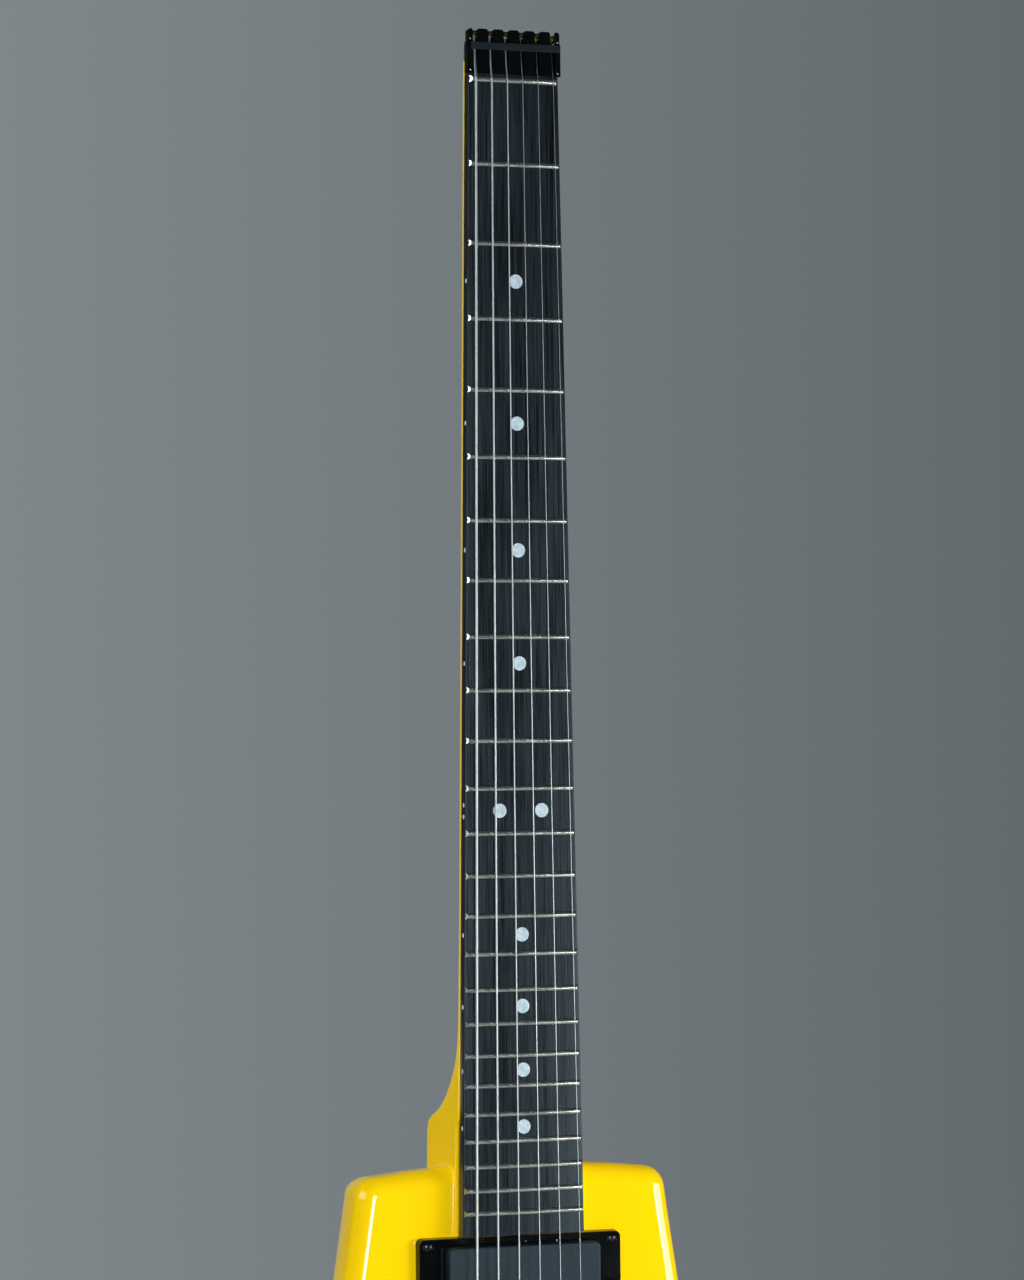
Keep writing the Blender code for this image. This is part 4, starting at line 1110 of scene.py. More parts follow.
# %% String bar and pins
BAR_Z = (ZERO_Z + 12.6, ZERO_Z + 15.8)
BAR_Y = (HEAD_FRONT_Y, -51.2)
BAR_WIDTH, BAR_X, BAR_ROUND = 40.8, 0.5, 0.5
PIN_X = 20.0
PIN_HEIGHTS = (ZERO_Z + 17.2, ZERO_Z + 3.8)
PIN_RADIUS, PIN_LIFT = 0.4, 0.4

bar_outline = rounded_box((BAR_WIDTH, BAR_Z[1] - BAR_Z[0]), (BAR_X, sum(BAR_Z) / 2), BAR_ROUND, 4)
bar = prism("string_bar", bar_outline, "Y", *BAR_Y)
dress(bar, satin_metal, stands_for=("headpiece_clamp",), edge=0.3)


def dome(name, place, radius, height, steps=6):
    """A low dome that stands on a surface and faces the player."""
    base = place[1]
    profile = [(radius, base + 0.4), (radius, base)]
    for k in range(1, steps + 1):
        turn = math.pi / 2 * k / steps
        profile.append((max(radius * math.cos(turn), 0.02), base - height * math.sin(turn)))
    return turned(name, profile, place, "Y", 20)


pin_places = [(x, HEAD_FRONT_Y, z) for x in (-PIN_X, PIN_X) for z in PIN_HEIGHTS]
pins = [dome("pin", place, PIN_RADIUS, PIN_LIFT) for place in pin_places]
dress(joined("headpiece_pins", pins), bright_steel)
print("headpiece pins:", len(pins))

# %% [markdown]
# ## Strings
# Each string is a steel wire that ends in a small brass spool at both ends. Its speaking length runs over
# the zero fret to the saddle, and its tail bends down into the jaw that tunes it. The two are separate
# pieces. On the guitar, the speaking length bends with the tremolo near the bridge, and the tail stretches
# between the saddle and its jaw.

# %% String ends and runs
GAUGES = (0.25, 0.33, 0.43, 0.66, 0.91, 1.17)
PLAIN_STRINGS = 3
SADDLE_STRING_Y = -55.6
TUNER_Y = -47.0
JAW_BALL_Z = 56.5
HEAD_BALL = (-46.4, 751.6)
BEND_MARKS = range(133, 84, -4)
LONG_SHARES = (0.0, 0.2, 0.4, 0.6, 0.8)
TAIL_STEPS = 8
SPOOL = ((0.65, 0.7), (0.65, 1.6), (1.65, 1.6), (1.9, 1.4), (1.9, 0.9), (1.35, 0.4))


def ball_end(name, x, y, z):
    """A brass spool, with its bore along X."""
    profile = [(r, x - out) for r, out in SPOOL] + [(r, x + out) for r, out in reversed(SPOOL)]
    return turned(name, profile, (0, y, z), "X", 28)


def run_path(x, y, low):
    """From the ball in the headpiece, over the zero fret and down to the saddle."""
    path = [(x, HEAD_BALL[0] - 1.5, HEAD_BALL[1]), (x, y + 1.4, ZERO_Z + 6), (x, y + 0.15, ZERO_Z + 1)]
    shares = list(LONG_SHARES) + [1 - (z - SADDLE_Z) / SCALE_LENGTH for z in BEND_MARKS]
    return path + [Vector((x, y, ZERO_Z)).lerp(low, share) for share in shares]


def tail_path(low, jaw):
    """Over the saddle's crest and down to the ball in the jaw."""
    bend = low + Vector((0, 0.35, -0.9))
    steps = [bend.lerp(jaw, k / TAIL_STEPS) for k in range(1, TAIL_STEPS + 1)]
    return [low + Vector((0, 0, 0.8)), low, bend] + steps


# %% [markdown]
# A plain string and a wound one differ only in their gauge and their finish. The run and the tail ride on
# no body, the ball in the headpiece stays with the neck, and the other ball follows its jaw.

# %% Six strings
def build_string(number):
    radius, node = GAUGES[number - 1] / 2, f"string_{number}"
    wire = string_steel if number <= PLAIN_STRINGS else wound_steel
    nut_x, saddle_x = string_x(number, NUT_PITCH), string_x(number, SADDLE_PITCH)
    nut_y = BOARD_TOP_Y - ZERO_HEIGHT - radius - 0.02 + crown(nut_x)
    low = Vector((saddle_x, SADDLE_STRING_Y + crown(saddle_x), SADDLE_Z))
    jaw = Vector((saddle_x, TUNER_Y - 1.5, JAW_BALL_Z))
    run = swept(f"string_{number}_run", run_path(nut_x, nut_y, low), radius, 12)
    dress(run, wire, body=None, stands_for=(node,), angle=60)
    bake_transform(run)
    tail = swept(f"string_{number}_tail", tail_path(low, jaw), radius, 12)
    dress(tail, wire, body=None, stands_for=(node,), angle=60)
    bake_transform(tail)
    head = ball_end(f"string_{number}_head_ball", nut_x, *HEAD_BALL)
    dress(head, brass, stands_for=(node,))
    foot = ball_end(f"string_{number}_tail_ball", saddle_x, TUNER_Y, JAW_BALL_Z)
    dress(foot, brass, body=f"jaw_{number}", stands_for=(node,))


for number in range(1, STRINGS + 1):
    build_string(number)
print("strings:", STRINGS)

# %% [markdown]
# ## Screws
# Cross-head screws hold the rings, the back plates and more. One is made at the origin, facing -Y, with a
# real cross recess cut in its domed head. Every other screw is a copy that is turned and moved into
# place.

# %% Screws
ORIGIN = (0, 0, 0)
FRONT, BACK, DOWN = (0, -1, 0), (0, 1, 0), (0, 0, -1)
DOME_STEPS, DOME_START = 7, 0.35
ARM_REACH_SHARE, ARM_WEB_SHARE, RECESS_SHARE = 0.55, 0.13, 0.25


def screw_head(radius, rise):
    """A domed head with a cross recess, which faces -Y, and a short neck behind it."""
    profile = [(radius * 0.5, 1.2), (radius * 0.5, 0.1), (radius * 0.96, 0.1), (radius, -rise * DOME_START)]
    for k in range(1, DOME_STEPS + 1):
        turn = math.pi / 2 * k / DOME_STEPS
        height = -rise * (DOME_START + (1 - DOME_START) * math.sin(turn))
        profile.append((max(radius * math.cos(turn * 0.98), 0.05), height))
    head = turned("screw", profile, ORIGIN, "Y", 32)
    arm, web = radius * ARM_REACH_SHARE, radius * ARM_WEB_SHARE
    depth = (-rise * RECESS_SHARE, -rise - 1)
    return cut(head, box("arm", (-arm, arm), depth, (-web, web)), box("arm", (-web, web), depth, (-arm, arm)))


def hex_head(radius, rise, chamfer=0.25):
    """A cylinder head with a hexagon socket, which faces -Y."""
    profile = [(radius, 1.0), (radius, -rise + chamfer), (radius - chamfer, -rise)]
    key = drill(radius * 0.55, (-rise * 0.3, -rise - 1), ORIGIN, "Y", 6)
    return cut(turned("screw", profile, ORIGIN, "Y", 36), key)


def copies(name, pattern, placings):
    """Copies of one mesh, each with its place and the direction that its front faces."""
    work = bmesh.new()
    for place, facing, roll in placings:
        turn = Vector((0, -1, 0)).rotation_difference(Vector(facing)).to_matrix()
        spin = Matrix.Rotation(roll, 3, "Y")
        mesh = pattern.data.copy()
        mesh.transform(Matrix.Translation(Vector(place) * MM) @ (turn @ spin).to_4x4())
        work.from_mesh(mesh)
    bpy.data.objects.remove(pattern)
    return object_from(name, work)


# %% [markdown]
# ## Pickups
# A humbucker sits in a black ring, whose walls taper towards the strings, and hangs in it from two height
# screws at its ends. Four corner screws hold the ring to the body. Under its textured cover are the
# coils, which no one sees.

# %% Pickup rings
RING_SIZE, RING_CORNER = (92.6, 45.5), 2.5
RING_TOP_Y = -43.8
RING_DRAFT = 0.4
COVER_SIZE, COVER_CORNER, COVER_GAP = (69.0, 38.0), 2.5, 0.6
COVER_TOP_Y, COVER_LOW_Y = -50.0, -21.0
SCREW_X, SCREW_Z = 42.0, 19.2
HEIGHT_SCREW_X = 40.6
SINK_RADIUS, SINK_DEPTH = 2.05, 0.45
RING_PINS = ((2.15, 233.9), (16.6, 233.4))


def ring_frame(node, middle):
    """A frame whose walls lean in towards the strings, with a window for the cover."""
    levels = []
    for draft, y in ((0.0, BODY_FRONT_Y + 0.05), (RING_DRAFT, RING_TOP_Y)):
        size = (RING_SIZE[0] - 2 * draft, RING_SIZE[1] - 2 * draft)
        levels.append([(a, y, b) for a, b in rounded_box(size, (0, middle), RING_CORNER, 10)])
    window = rounded_box([side + 2 * COVER_GAP for side in COVER_SIZE], (0, middle), 2.8, 8)
    return cut(loft(node + "_frame", levels), prism("window", window, "Y", FRONT_OPEN_Y, POCKET_Y))


def build_ring(node):
    middle = ring_middle(node)
    ring = ring_frame(node, middle)
    places = [(x, z) for x in (-SCREW_X, SCREW_X) for z in (middle - SCREW_Z, middle + SCREW_Z)]
    places += [(-HEIGHT_SCREW_X, middle), (HEIGHT_SCREW_X, middle)]
    run = (RING_TOP_Y + SINK_DEPTH, FRONT_OPEN_Y)
    cut(ring, *[drill(SINK_RADIUS, run, (x, 0, z), "Y", 32) for x, z in places])
    dress(ring, ring_plastic, stands_for=(node,), edge=0.45)
    placings = [((x, RING_TOP_Y + 0.35, z), FRONT, x + z) for x, z in places]
    screws = copies(node + "_screws", screw_head(1.85, 0.9), placings)
    dress(screws, black_nickel)


for node in ("neck_pickup_ring", "bridge_pickup_ring"):
    build_ring(node)
pins = [dome("ring_pin", (x, RING_TOP_Y, z), 0.35, 0.25) for x, z in RING_PINS]
dress(joined("neck_ring_pins", pins), bright_steel)
print("rings:", 2, "with", len(pins), "pins")

# %% [markdown]
# All three covers are one form in two sizes: a box with round corners, whose front edge is eased. The
# middle pickup has no ring, so its two screws go straight through its cover.

# %% Pickup covers
MIDDLE_SIZE, MIDDLE_CORNER = (83.0, 18.0), 8.9
MIDDLE_SCREW_X = 37.5


def build_cover(node, size, z, corner):
    outline = rounded_box(size, (0, z), corner, 12)
    cover = soften(prism(node + "_cover", outline, "Y", COVER_LOW_Y, COVER_TOP_Y), 1.0, 5)
    dress(cover, cover_plastic, stands_for=(node,))


build_cover("neck_pickup", COVER_SIZE, ring_middle("neck_pickup_ring"), COVER_CORNER)
build_cover("bridge_pickup", COVER_SIZE, ring_middle("bridge_pickup_ring"), COVER_CORNER)
build_cover("middle_pickup", MIDDLE_SIZE, MIDDLE_PICKUP_Z, MIDDLE_CORNER)
places = [((x, COVER_TOP_Y + 0.1, MIDDLE_PICKUP_Z), FRONT, x) for x in (-MIDDLE_SCREW_X, MIDDLE_SCREW_X)]
dress(copies("middle_pickup_screws", screw_head(1.7, 0.8), places), black_nickel)

# %% [markdown]
# ## The bridge's base
# The bridge rocks on two studs: a flat steel plate, with a housing at its tail end for six sliding jaws.
# It is milled from one block, so it is made that way here too: a plate, a block fused to it, and a cutter
# for each fork, channel and screw hole. Its edges are broken before the fine scale is engraved, which is
# how a shop does it.

# %% Bridge base
PLATE_HALF, PLATE_CORNER = 40.0, 3.0
PLATE_Z = (31.0, 107.0)
PLATE_Y = (-39.0, -42.0)
HOUSING_HALF, HOUSING_CORNER = 33.5, 1.5
HOUSING_Z = (31.0, 66.0)
HOUSING_FRONT_Y = -52.0
CHANNEL_HALF, CHANNEL_FLOOR_Y = 4.3, -42.8
CHANNEL_Z = (HOUSING_Z[0] + 4, 75)
FORK_HALF, FORK_ROUND, FORK_OPEN_Z = 3.6, 3.5, 115
SHANK_RADIUS = 2.4
SCALE_X, SCALE_Y = (-34.5, -31.0), (-43, -41.8)
SCALE_LINES, LINE_HALF = range(74, 99, 4), 0.15
BRIDGE_XS = [string_x(number, SADDLE_PITCH) for number in range(1, STRINGS + 1)]


def fork(x):
    """The slot that rocks on a stud, open towards the neck."""
    low, left, right = STUD_Z - FORK_HALF, x - FORK_HALF, x + FORK_HALF
    corners = [(left, low, FORK_ROUND), (right, low, FORK_ROUND)]
    corners += [(right, FORK_OPEN_Z, 0), (left, FORK_OPEN_Z, 0)]
    return prism("fork", rounded(corners, 12), "Y", FRONT_OPEN_Y, POCKET_Y)


def build_base():
    plate = rounded_box((2 * PLATE_HALF, PLATE_Z[1] - PLATE_Z[0]), (0, sum(PLATE_Z) / 2), PLATE_CORNER)
    base = prism("bridge_base_plate", plate, "Y", *PLATE_Y)
    (low, high), half = HOUSING_Z, HOUSING_HALF
    housing = [(-half, low, 0), (half, low, 0), (half, high, HOUSING_CORNER), (-half, high, HOUSING_CORNER)]
    fuse(base, prism("housing", rounded(housing), "Y", PLATE_Y[0] - 1, HOUSING_FRONT_Y))
    cut(base, fork(-STUD_X), fork(STUD_X))
    for x in BRIDGE_XS:
        sides = (x - CHANNEL_HALF, x + CHANNEL_HALF)
        cut(base, box("channel", sides, (FRONT_OPEN_Y, CHANNEL_FLOOR_Y), CHANNEL_Z))
        cut(base, drill(SHANK_RADIUS, (25, 60), (x, TUNER_Y, 0), "Z", 32))
    soften(base, 0.3)
    cut(base, *[box("line", SCALE_X, SCALE_Y, (z - LINE_HALF, z + LINE_HALF)) for z in SCALE_LINES])
    dress(base, black_metal, body="tremolo", stands_for=("bridge_base",))
    print("bridge base:", len(base.data.polygons), "faces")


build_base()

# %% [markdown]
# ## Saddles
# Each saddle is a wedge that lies on the plate under its string. The string rests in a groove over its
# crest, and a screw in a slot clamps it where the octave sounds true. The groove is cut with the string's
# own path, a little fatter, so it fits every gauge.

# %% Saddles
SADDLE_HALF = 4.8
SADDLE_FOOT_Y = -42.3
SADDLE_BACK = [(SADDLE_FOOT_Y, 73, 0), (SADDLE_FOOT_Y, 97, 0), (SADDLE_FOOT_Y - 4, 97, 1.0)]
CLAMP_Z, CLAMP_FLOOR_Y = 91.5, -47.6
CLAMP_SLOT, SLOT_ROUND = (3.4, 9), 1.6
COUNTERBORE_RADIUS = 2.6
SOCKET_X, SOCKET_Z, SOCKET_FLOOR_Y, SOCKET_RADIUS = 3.2, 77.5, -49.0, 0.8


def groove(x, string_y, radius):
    """The path of a string over the crest, as a cutter a little fatter than the string."""
    path = [(x, string_y + 0.3, 96), (x, string_y, 86.5), (x, string_y, 84.4), (x, string_y + 4.0, 70)]
    return swept("groove", path, radius + 0.08, 16)


def build_saddle(number, x):
    radius, node = GAUGES[number - 1] / 2, f"saddle_{number}"
    string_y = SADDLE_STRING_Y + crown(x)
    crest = string_y + radius - 0.1
    profile = SADDLE_BACK + [(crest + 0.9, 88, 1.5), (crest, 85, 1.6), (crest + 1.1, 81, 2.0)]
    profile += [(SADDLE_FOOT_Y - 6, 73, 1.0)]
    saddle = prism(node + "_wedge", rounded(profile, 5), "X", x - SADDLE_HALF, x + SADDLE_HALF)
    cut(saddle, prism("slot", rounded_box(CLAMP_SLOT, (x, CLAMP_Z), SLOT_ROUND), "Y", FRONT_OPEN_Y, -30))
    cut(saddle, drill(COUNTERBORE_RADIUS, (FRONT_OPEN_Y, CLAMP_FLOOR_Y), (x, 0, CLAMP_Z), "Y", 32))
    soften(saddle, 0.25)
    cut(saddle, groove(x, string_y, radius))
    run, sides = (FRONT_OPEN_Y, SOCKET_FLOOR_Y), (x - SOCKET_X, x + SOCKET_X)
    cut(saddle, *[drill(SOCKET_RADIUS, run, (at, 0, SOCKET_Z), "Y", 6) for at in sides])
    dress(saddle, satin_metal, body="tremolo", stands_for=(node,))
    screw = copies(node + "_screw", hex_head(2.3, 2.2), [((x, CLAMP_FLOOR_Y, CLAMP_Z), FRONT, 0.0)])
    dress(screw, black_nickel, body="tremolo")


for number, x in enumerate(BRIDGE_XS, 1):
    build_saddle(number, x)
print("saddles:", len(BRIDGE_XS))

# %% [markdown]
# ## Jaws and tuner knobs
# A jaw slides in its channel and holds the ball end in a pocket behind a slit. A long thumb knob with a
# fine screw pulls it. The knob is knurled so that a thumb can turn it: every ring of its profile is a
# gear-like outline instead of a circle. The screw's thread is fine enough that rings, in place of a
# helix, look the same.

# %% Knurls and threads
THREAD_PITCH, THREAD_DEPTH = 0.7, 0.35


def knurled(name, profile, centre, axis, teeth):
    """A turned piece. Each profile entry has a radius, a height and the depth of its teeth."""
    a, b = [centre[i] for i in PLANE[axis][:2]]
    rings = []
    for radius, height, depth in profile:
        ring = []
        for k in range(teeth * 4):
            turn = math.tau * k / (teeth * 4)
            reach = radius - depth * (k % 4 in (0, 1))
            ring.append(spread(a + reach * math.cos(turn), b + reach * math.sin(turn), height, axis))
        rings.append(ring)
    return loft(name, rings)


def thread(radius, low, high, pitch=THREAD_PITCH):
    """The profile of a screw's thread, from a low height to a high one."""
    turns = int((high - low) / pitch)
    profile = []
    for k in range(turns):
        profile += [(radius, low + pitch * (k + 0.25)), (radius - THREAD_DEPTH, low + pitch * (k + 0.75))]
    return profile


# %% [markdown]
# With these two helpers, a jaw is a block with three cuts and a tuner is a list of radii. Each knob's
# profile is stated as what its rim loses at each height, so one number sets the size of the knob.

# %% Jaws and knobs
JAW_HALF = 4.0
JAW_Z = (38.5, 62.0)
JAW_Y = (-43.1, -51.8)
BALL_ROOM, BALL_ROOM_ROUND, BALL_ROOM_FLOOR_Y = (4.0, 5.0), 1.4, -44.7
SLIT_HALF, SLIT_FLOOR_Y, SLIT_Z = 0.9, -45.6, (57, 70)
KNOB_RADIUS, KNURL_DEPTH, KNURL_TEETH = 4.7, 0.28, 30
KNOB_PROFILE = ((1.2, 8.0, 0), (0.9, 8.1, 0), (0.1, 8.9, 0), (0.1, 10.2, 0), (0.5, 10.5, 0), (0.5, 11.2, 0),
                (0.0, 11.6, KNURL_DEPTH), (0.0, 25.2, KNURL_DEPTH), (0.6, 25.9, 0), (1.0, 26.6, 0),
                (1.0, 30.0, 0), (1.4, 30.4, 0))


def build_jaw(number, x):
    jaw = soften(box(f"jaw_{number}_block", (x - JAW_HALF, x + JAW_HALF), JAW_Y, JAW_Z), 0.5)
    room = rounded_box(BALL_ROOM, (x, JAW_BALL_Z), BALL_ROOM_ROUND)
    room = prism("ball_room", room, "Y", FRONT_OPEN_Y, BALL_ROOM_FLOOR_Y)
    slit = box("slit", (x - SLIT_HALF, x + SLIT_HALF), (FRONT_OPEN_Y, SLIT_FLOOR_Y), SLIT_Z)
    hole = drill(SHANK_RADIUS, (30, 50), (x, TUNER_Y, 0), "Z", 32)
    cut(jaw, room, slit, hole)
    dress(jaw, plain_steel, body=f"jaw_{number}", stands_for=(f"jaw_{number}",))


def build_tuner(number, x):
    body, axis = f"tuner_{number}", (x, TUNER_Y, 0)
    profile = [(KNOB_RADIUS - less, z, depth) for less, z, depth in KNOB_PROFILE]
    knob = knurled(body + "_knob", profile, axis, "Z", KNURL_TEETH)
    cut(knob, drill(1.7, (7, 10), axis, "Z", 6))
    dress(knob, black_metal, body=body, stands_for=(f"tuner_knob_{number}",))
    screw = [(1.65, 30.3)] + thread(2.0, 30.5, 45.9) + [(1.4, 46.5)]
    dress(turned(body + "_screw", screw, axis, "Z", 24), plain_steel, body=body, angle=25)


for number, x in enumerate(BRIDGE_XS, 1):
    build_jaw(number, x)
    build_tuner(number, x)
print("jaws and tuners:", len(BRIDGE_XS))

# %% [markdown]
# ## Studs, block, springs and claw
# Two studs in the body hold the bridge, and two springs pull its block against the strings from behind.
# Each spring hooks into the block and into a claw, and the claw's two long screws set the pull. A spring
# is one wire, drawn along a coil whose ends close to its axis. It stretches when the bridge rocks.

# %% Studs and block
SPRING_X, SPRING_Y = 14.0, -10.5
BLOCK_TOP_Z = 98.0
BLOCK_X, BLOCK_Y, BLOCK_Z = (-30, 30), (-38.7, -8), (84, BLOCK_TOP_Z)
HOOK_XS = (-24, -SPRING_X, 0, SPRING_X, 24)
BLOCK_SCREW_XS, BLOCK_SCREW_Y, BLOCK_SCREW_Z = (-20, 0, 20), -11, 88.5
STUD_PROFILE = [(5.0, -17.5), (5.0, -36.8), (4.6, -37.2), (3.0, -37.2), (3.0, -44.2), (4.6, -44.2),
                (5.0, -44.6), (5.0, -45.7), (4.5, -46.2)]

for side, node in ((-1, "pivot_stud_bass"), (1, "pivot_stud_treble")):
    centre = (side * STUD_X, 0, STUD_Z)
    stud = turned(node + "_post", STUD_PROFILE, centre, "Y", 48)
    cut(stud, drill(2.4, (-44.6, -50), centre, "Y", 6))
    dress(stud, black_nickel, stands_for=(node,))

block = soften(box("tremolo_block_steel", BLOCK_X, BLOCK_Y, BLOCK_Z), 0.8)
hooks = [drill(1.5, (91, 105), (x, SPRING_Y, 0), "Z", 24) for x in HOOK_XS]
bores = [drill(3.2, (-11, 0), (x, 0, BLOCK_SCREW_Z), "Y", 32) for x in BLOCK_SCREW_XS]
cut(block, *hooks, *bores)
dress(block, plain_steel, body="tremolo", stands_for=("tremolo_block",))
placings = [((x, BLOCK_SCREW_Y, BLOCK_SCREW_Z), BACK, 0.0) for x in BLOCK_SCREW_XS]
block_screws = copies("block_screws", hex_head(2.9, 2.0), placings)
dress(block_screws, black_nickel, body="tremolo")
print("block faces:", len(block.data.polygons))

# %% [markdown]
# A spring's coil grows out of its axis over the first half turn and closes to it again over the last,
# which gives the two hooks. The claw is a steel plate with an eye for each, and two long screws hold it.

# %% Springs and claw
COIL_RADIUS, COIL_WIRE, COIL_TURNS, COIL_STEPS = 4.2, 0.7, 15, 24
CLAW_X, CLAW_Y, CLAW_Z = (-21, 21), (-15, -5.5), (174.3, 176.3)


def spring_path(x):
    low, high = BLOCK_TOP_Z + 1.5, CLAW_Z[0] - 1.5
    path = [(x, SPRING_Y, low - 6)]
    for k in range(COIL_TURNS * COIL_STEPS + 1):
        share = k / (COIL_TURNS * COIL_STEPS)
        radius = COIL_RADIUS * min(1.0, min(share, 1 - share) * COIL_TURNS * 2)
        turn = math.tau * k / COIL_STEPS
        z = low + (high - low) * share
        path.append((x + radius * math.cos(turn), SPRING_Y + radius * math.sin(turn), z))
    return path + [(x, SPRING_Y, high + 5)]


for side, node in ((-1, "tremolo_spring_bass"), (1, "tremolo_spring_treble")):
    x = side * SPRING_X
    coil = swept(node + "_coil", spring_path(x), COIL_WIRE, 10)
    dress(coil, plain_steel, body=None, stands_for=(node,), angle=60)
    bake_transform(coil)

claw = soften(box("claw_plate", CLAW_X, CLAW_Y, CLAW_Z), 0.4)
cut(claw, *[drill(1.3, (170, 180), (x, SPRING_Y, 0), "Z", 24) for x in (-SPRING_X, SPRING_X)])
dress(claw, plain_steel, stands_for=("spring_claw",))
shaft = [(1.4, 176.2)] + thread(1.8, 176.5, 203) + [(0.5, 204)]
shafts = [turned("shaft", shaft, (x, CLAW_SCREW_Y, 0), "Z", 20) for x in (-CLAW_SCREW_X, CLAW_SCREW_X)]
dress(joined("claw_screws", shafts), plain_steel, angle=25)
placings = [((x, CLAW_SCREW_Y, CLAW_Z[0]), DOWN, 0.4) for x in (-CLAW_SCREW_X, CLAW_SCREW_X)]
claw_heads = copies("claw_screw_heads", screw_head(2.6, 1.3), placings)
dress(claw_heads, plain_steel)
print("coil points:", len(spring_path(0)))

# %% [markdown]
# ## Tremolo arm and lock
# The arm is a bent steel rod. Three Bezier curves share their tangents, so the bends are as smooth as a
# bender leaves them. A black tip covers its end. The small lever beside the bridge swings over the
# plate's edge and locks it.

# %% Arm
ARM_X, ARM_Z = 36, 84
ARM_RADIUS, TIP_RADIUS, TIP_DOME = 2.3, 2.4, 2.4
ARM_POST = [(ARM_X, -45, ARM_Z), (ARM_X, -50, ARM_Z)]
ARM_BEND = ((ARM_X, -56, ARM_Z), (ARM_X, -61.5, ARM_Z), (37.6, -64.0, 88.5), (39, -64.5, 96))
ARM_REACH = ((39, -64.5, 96), (41.2, -65.2, 110), (48.9, -67.9, 168), (51, -68, 182))
ARM_END = ((51, -68, 182), (51.5, -68, 186), (52.4, -67.0, 191), (53, -66.5, 194))


def domed(path, radius, reach):
    """Radii along a path that close to a dome over its last stretch."""
    end = Vector(path[-1])
    radii = []
    for point in path:
        left = min(1.0, (Vector(point) - end).length / reach)
        radii.append(max(0.15, radius * math.sqrt(1 - (1 - left) ** 2)))
    return radii


arm_path = ARM_POST + bezier(*ARM_BEND, 12) + bezier(*ARM_REACH, 24)[1:]
arm = swept("arm_rod", arm_path, ARM_RADIUS, 24)
dress(arm, bright_steel, body="arm", stands_for=("tremolo_arm",), angle=60)
tip_start = Vector(ARM_REACH[3]).lerp(Vector(ARM_REACH[2]), 0.5)
tip_path = [tip_start] + bezier(*ARM_END, 24)
tip = swept("arm_tip", tip_path, domed(tip_path, TIP_RADIUS, TIP_DOME), 24)
dress(tip, ring_plastic, body="arm", angle=60)
print("arm reaches to", arm_path[-1])

# %% [markdown]
# The arm stands in a knurled collar on the base plate.

# %% Arm socket
COLLAR_RADIUS, COLLAR_KNURL, COLLAR_TEETH = 4.0, 0.2, 26
COLLAR_PROFILE = ((0.4, -42.3, 0), (0.0, -42.7, 0), (0.0, -45.0, 0), (0.3, -45.2, 0), (0.3, -45.8, 0),
                  (0.0, -46.0, COLLAR_KNURL), (0.0, -50.4, COLLAR_KNURL), (0.1, -50.7, 0), (0.0, -51.0, 0),
                  (0.0, -52.0, 0), (0.4, -52.6, 0), (1.2, -52.6, 0), (1.2, -44.0, 0))

profile = [(COLLAR_RADIUS - less, y, depth) for less, y, depth in COLLAR_PROFILE]
collar = knurled("arm_socket_collar", profile, (ARM_X, 0, ARM_Z), "Y", COLLAR_TEETH)
dress(collar, black_metal, body="tremolo", stands_for=("arm_socket",))

# %% [markdown]
# The lock lever turns on a post in the body. Three shallow grooves across its end give a finger some
# grip.

# %% Lock lever
LOCK_AXIS = (LOCK_X, 0, LOCK_Z)
LEVER_Y = (-44.8, -42.4)
LEVER_LOW_HALF, LEVER_HIGH_HALF, LEVER_REACH = 3.5, 3.0, 14
GRIP_ZS, GRIP_WIDTH, GRIP_Y = (78.0, 79.4, 80.8), 0.5, (-46, -44.5)
LOCK_SCREW_Y = -43.9
POST_PROFILE = [(2.0, -26), (2.0, -40.0), (3.3, -40.0), (3.3, -42.39)]

low_z, high_z = LOCK_Z - LEVER_LOW_HALF, LOCK_Z + LEVER_REACH
corners = [(LOCK_X - LEVER_LOW_HALF, low_z, 3.4), (LOCK_X + LEVER_LOW_HALF, low_z, 3.4)]
corners += [(LOCK_X + LEVER_HIGH_HALF, high_z, 2.9), (LOCK_X - LEVER_HIGH_HALF, high_z, 2.9)]
lever = soften(prism("lock_lever_bar", rounded(corners, 10), "Y", *LEVER_Y), 0.4)
grips = [box("grip", (LOCK_X - 5, LOCK_X + 5), GRIP_Y, (z, z + GRIP_WIDTH)) for z in GRIP_ZS]
cut(lever, drill(2.3, (-50, LOCK_SCREW_Y), LOCK_AXIS, "Y", 32), *grips)
dress(lever, black_metal, body="lock", stands_for=("lock_lever",))
post = turned("lock_post", POST_PROFILE, LOCK_AXIS, "Y", 36)
lock_screw = copies("lock_screw", hex_head(2.0, 0.8), [((LOCK_X, LOCK_SCREW_Y, LOCK_Z), FRONT, 0.0)])
dress(joined("lock_post_and_screw", [post, lock_screw]), black_nickel, body="lock")
print("lever faces:", len(lever.data.polygons))

# %% [markdown]
# ## Controls
# A potentiometer is a steel can below the front with a threaded neck through it, and a washer and hexagon
# nut on top hold it. Its knob is a knurled cylinder with a dished top and a white line, so its setting
# can be seen. The selector is a flat blade that rocks in a frame, and its tip is pinched in the middle
# for a finger.

# %% Pots
NECK_RADIUS, SHAFT_RADIUS = 4.0, 3.3
CAN_PROFILE = [(8.0, -20.0), (8.5, -20.5), (8.5, -31.2), (8.0, -31.7), (NECK_RADIUS, -31.7)]
NECK_THREAD = [(radius, -y) for radius, y in thread(4.2, 31.9, 39.6)]
NECK_END = [(NECK_RADIUS, -39.9), (SHAFT_RADIUS, -39.9), (SHAFT_RADIUS, -24.0)]
NUT_BASE_Y, NUT_TOP_Y = -40.0, -41.7
NUT_RADIUS, WASHER_RADIUS = 5.7, 5.9


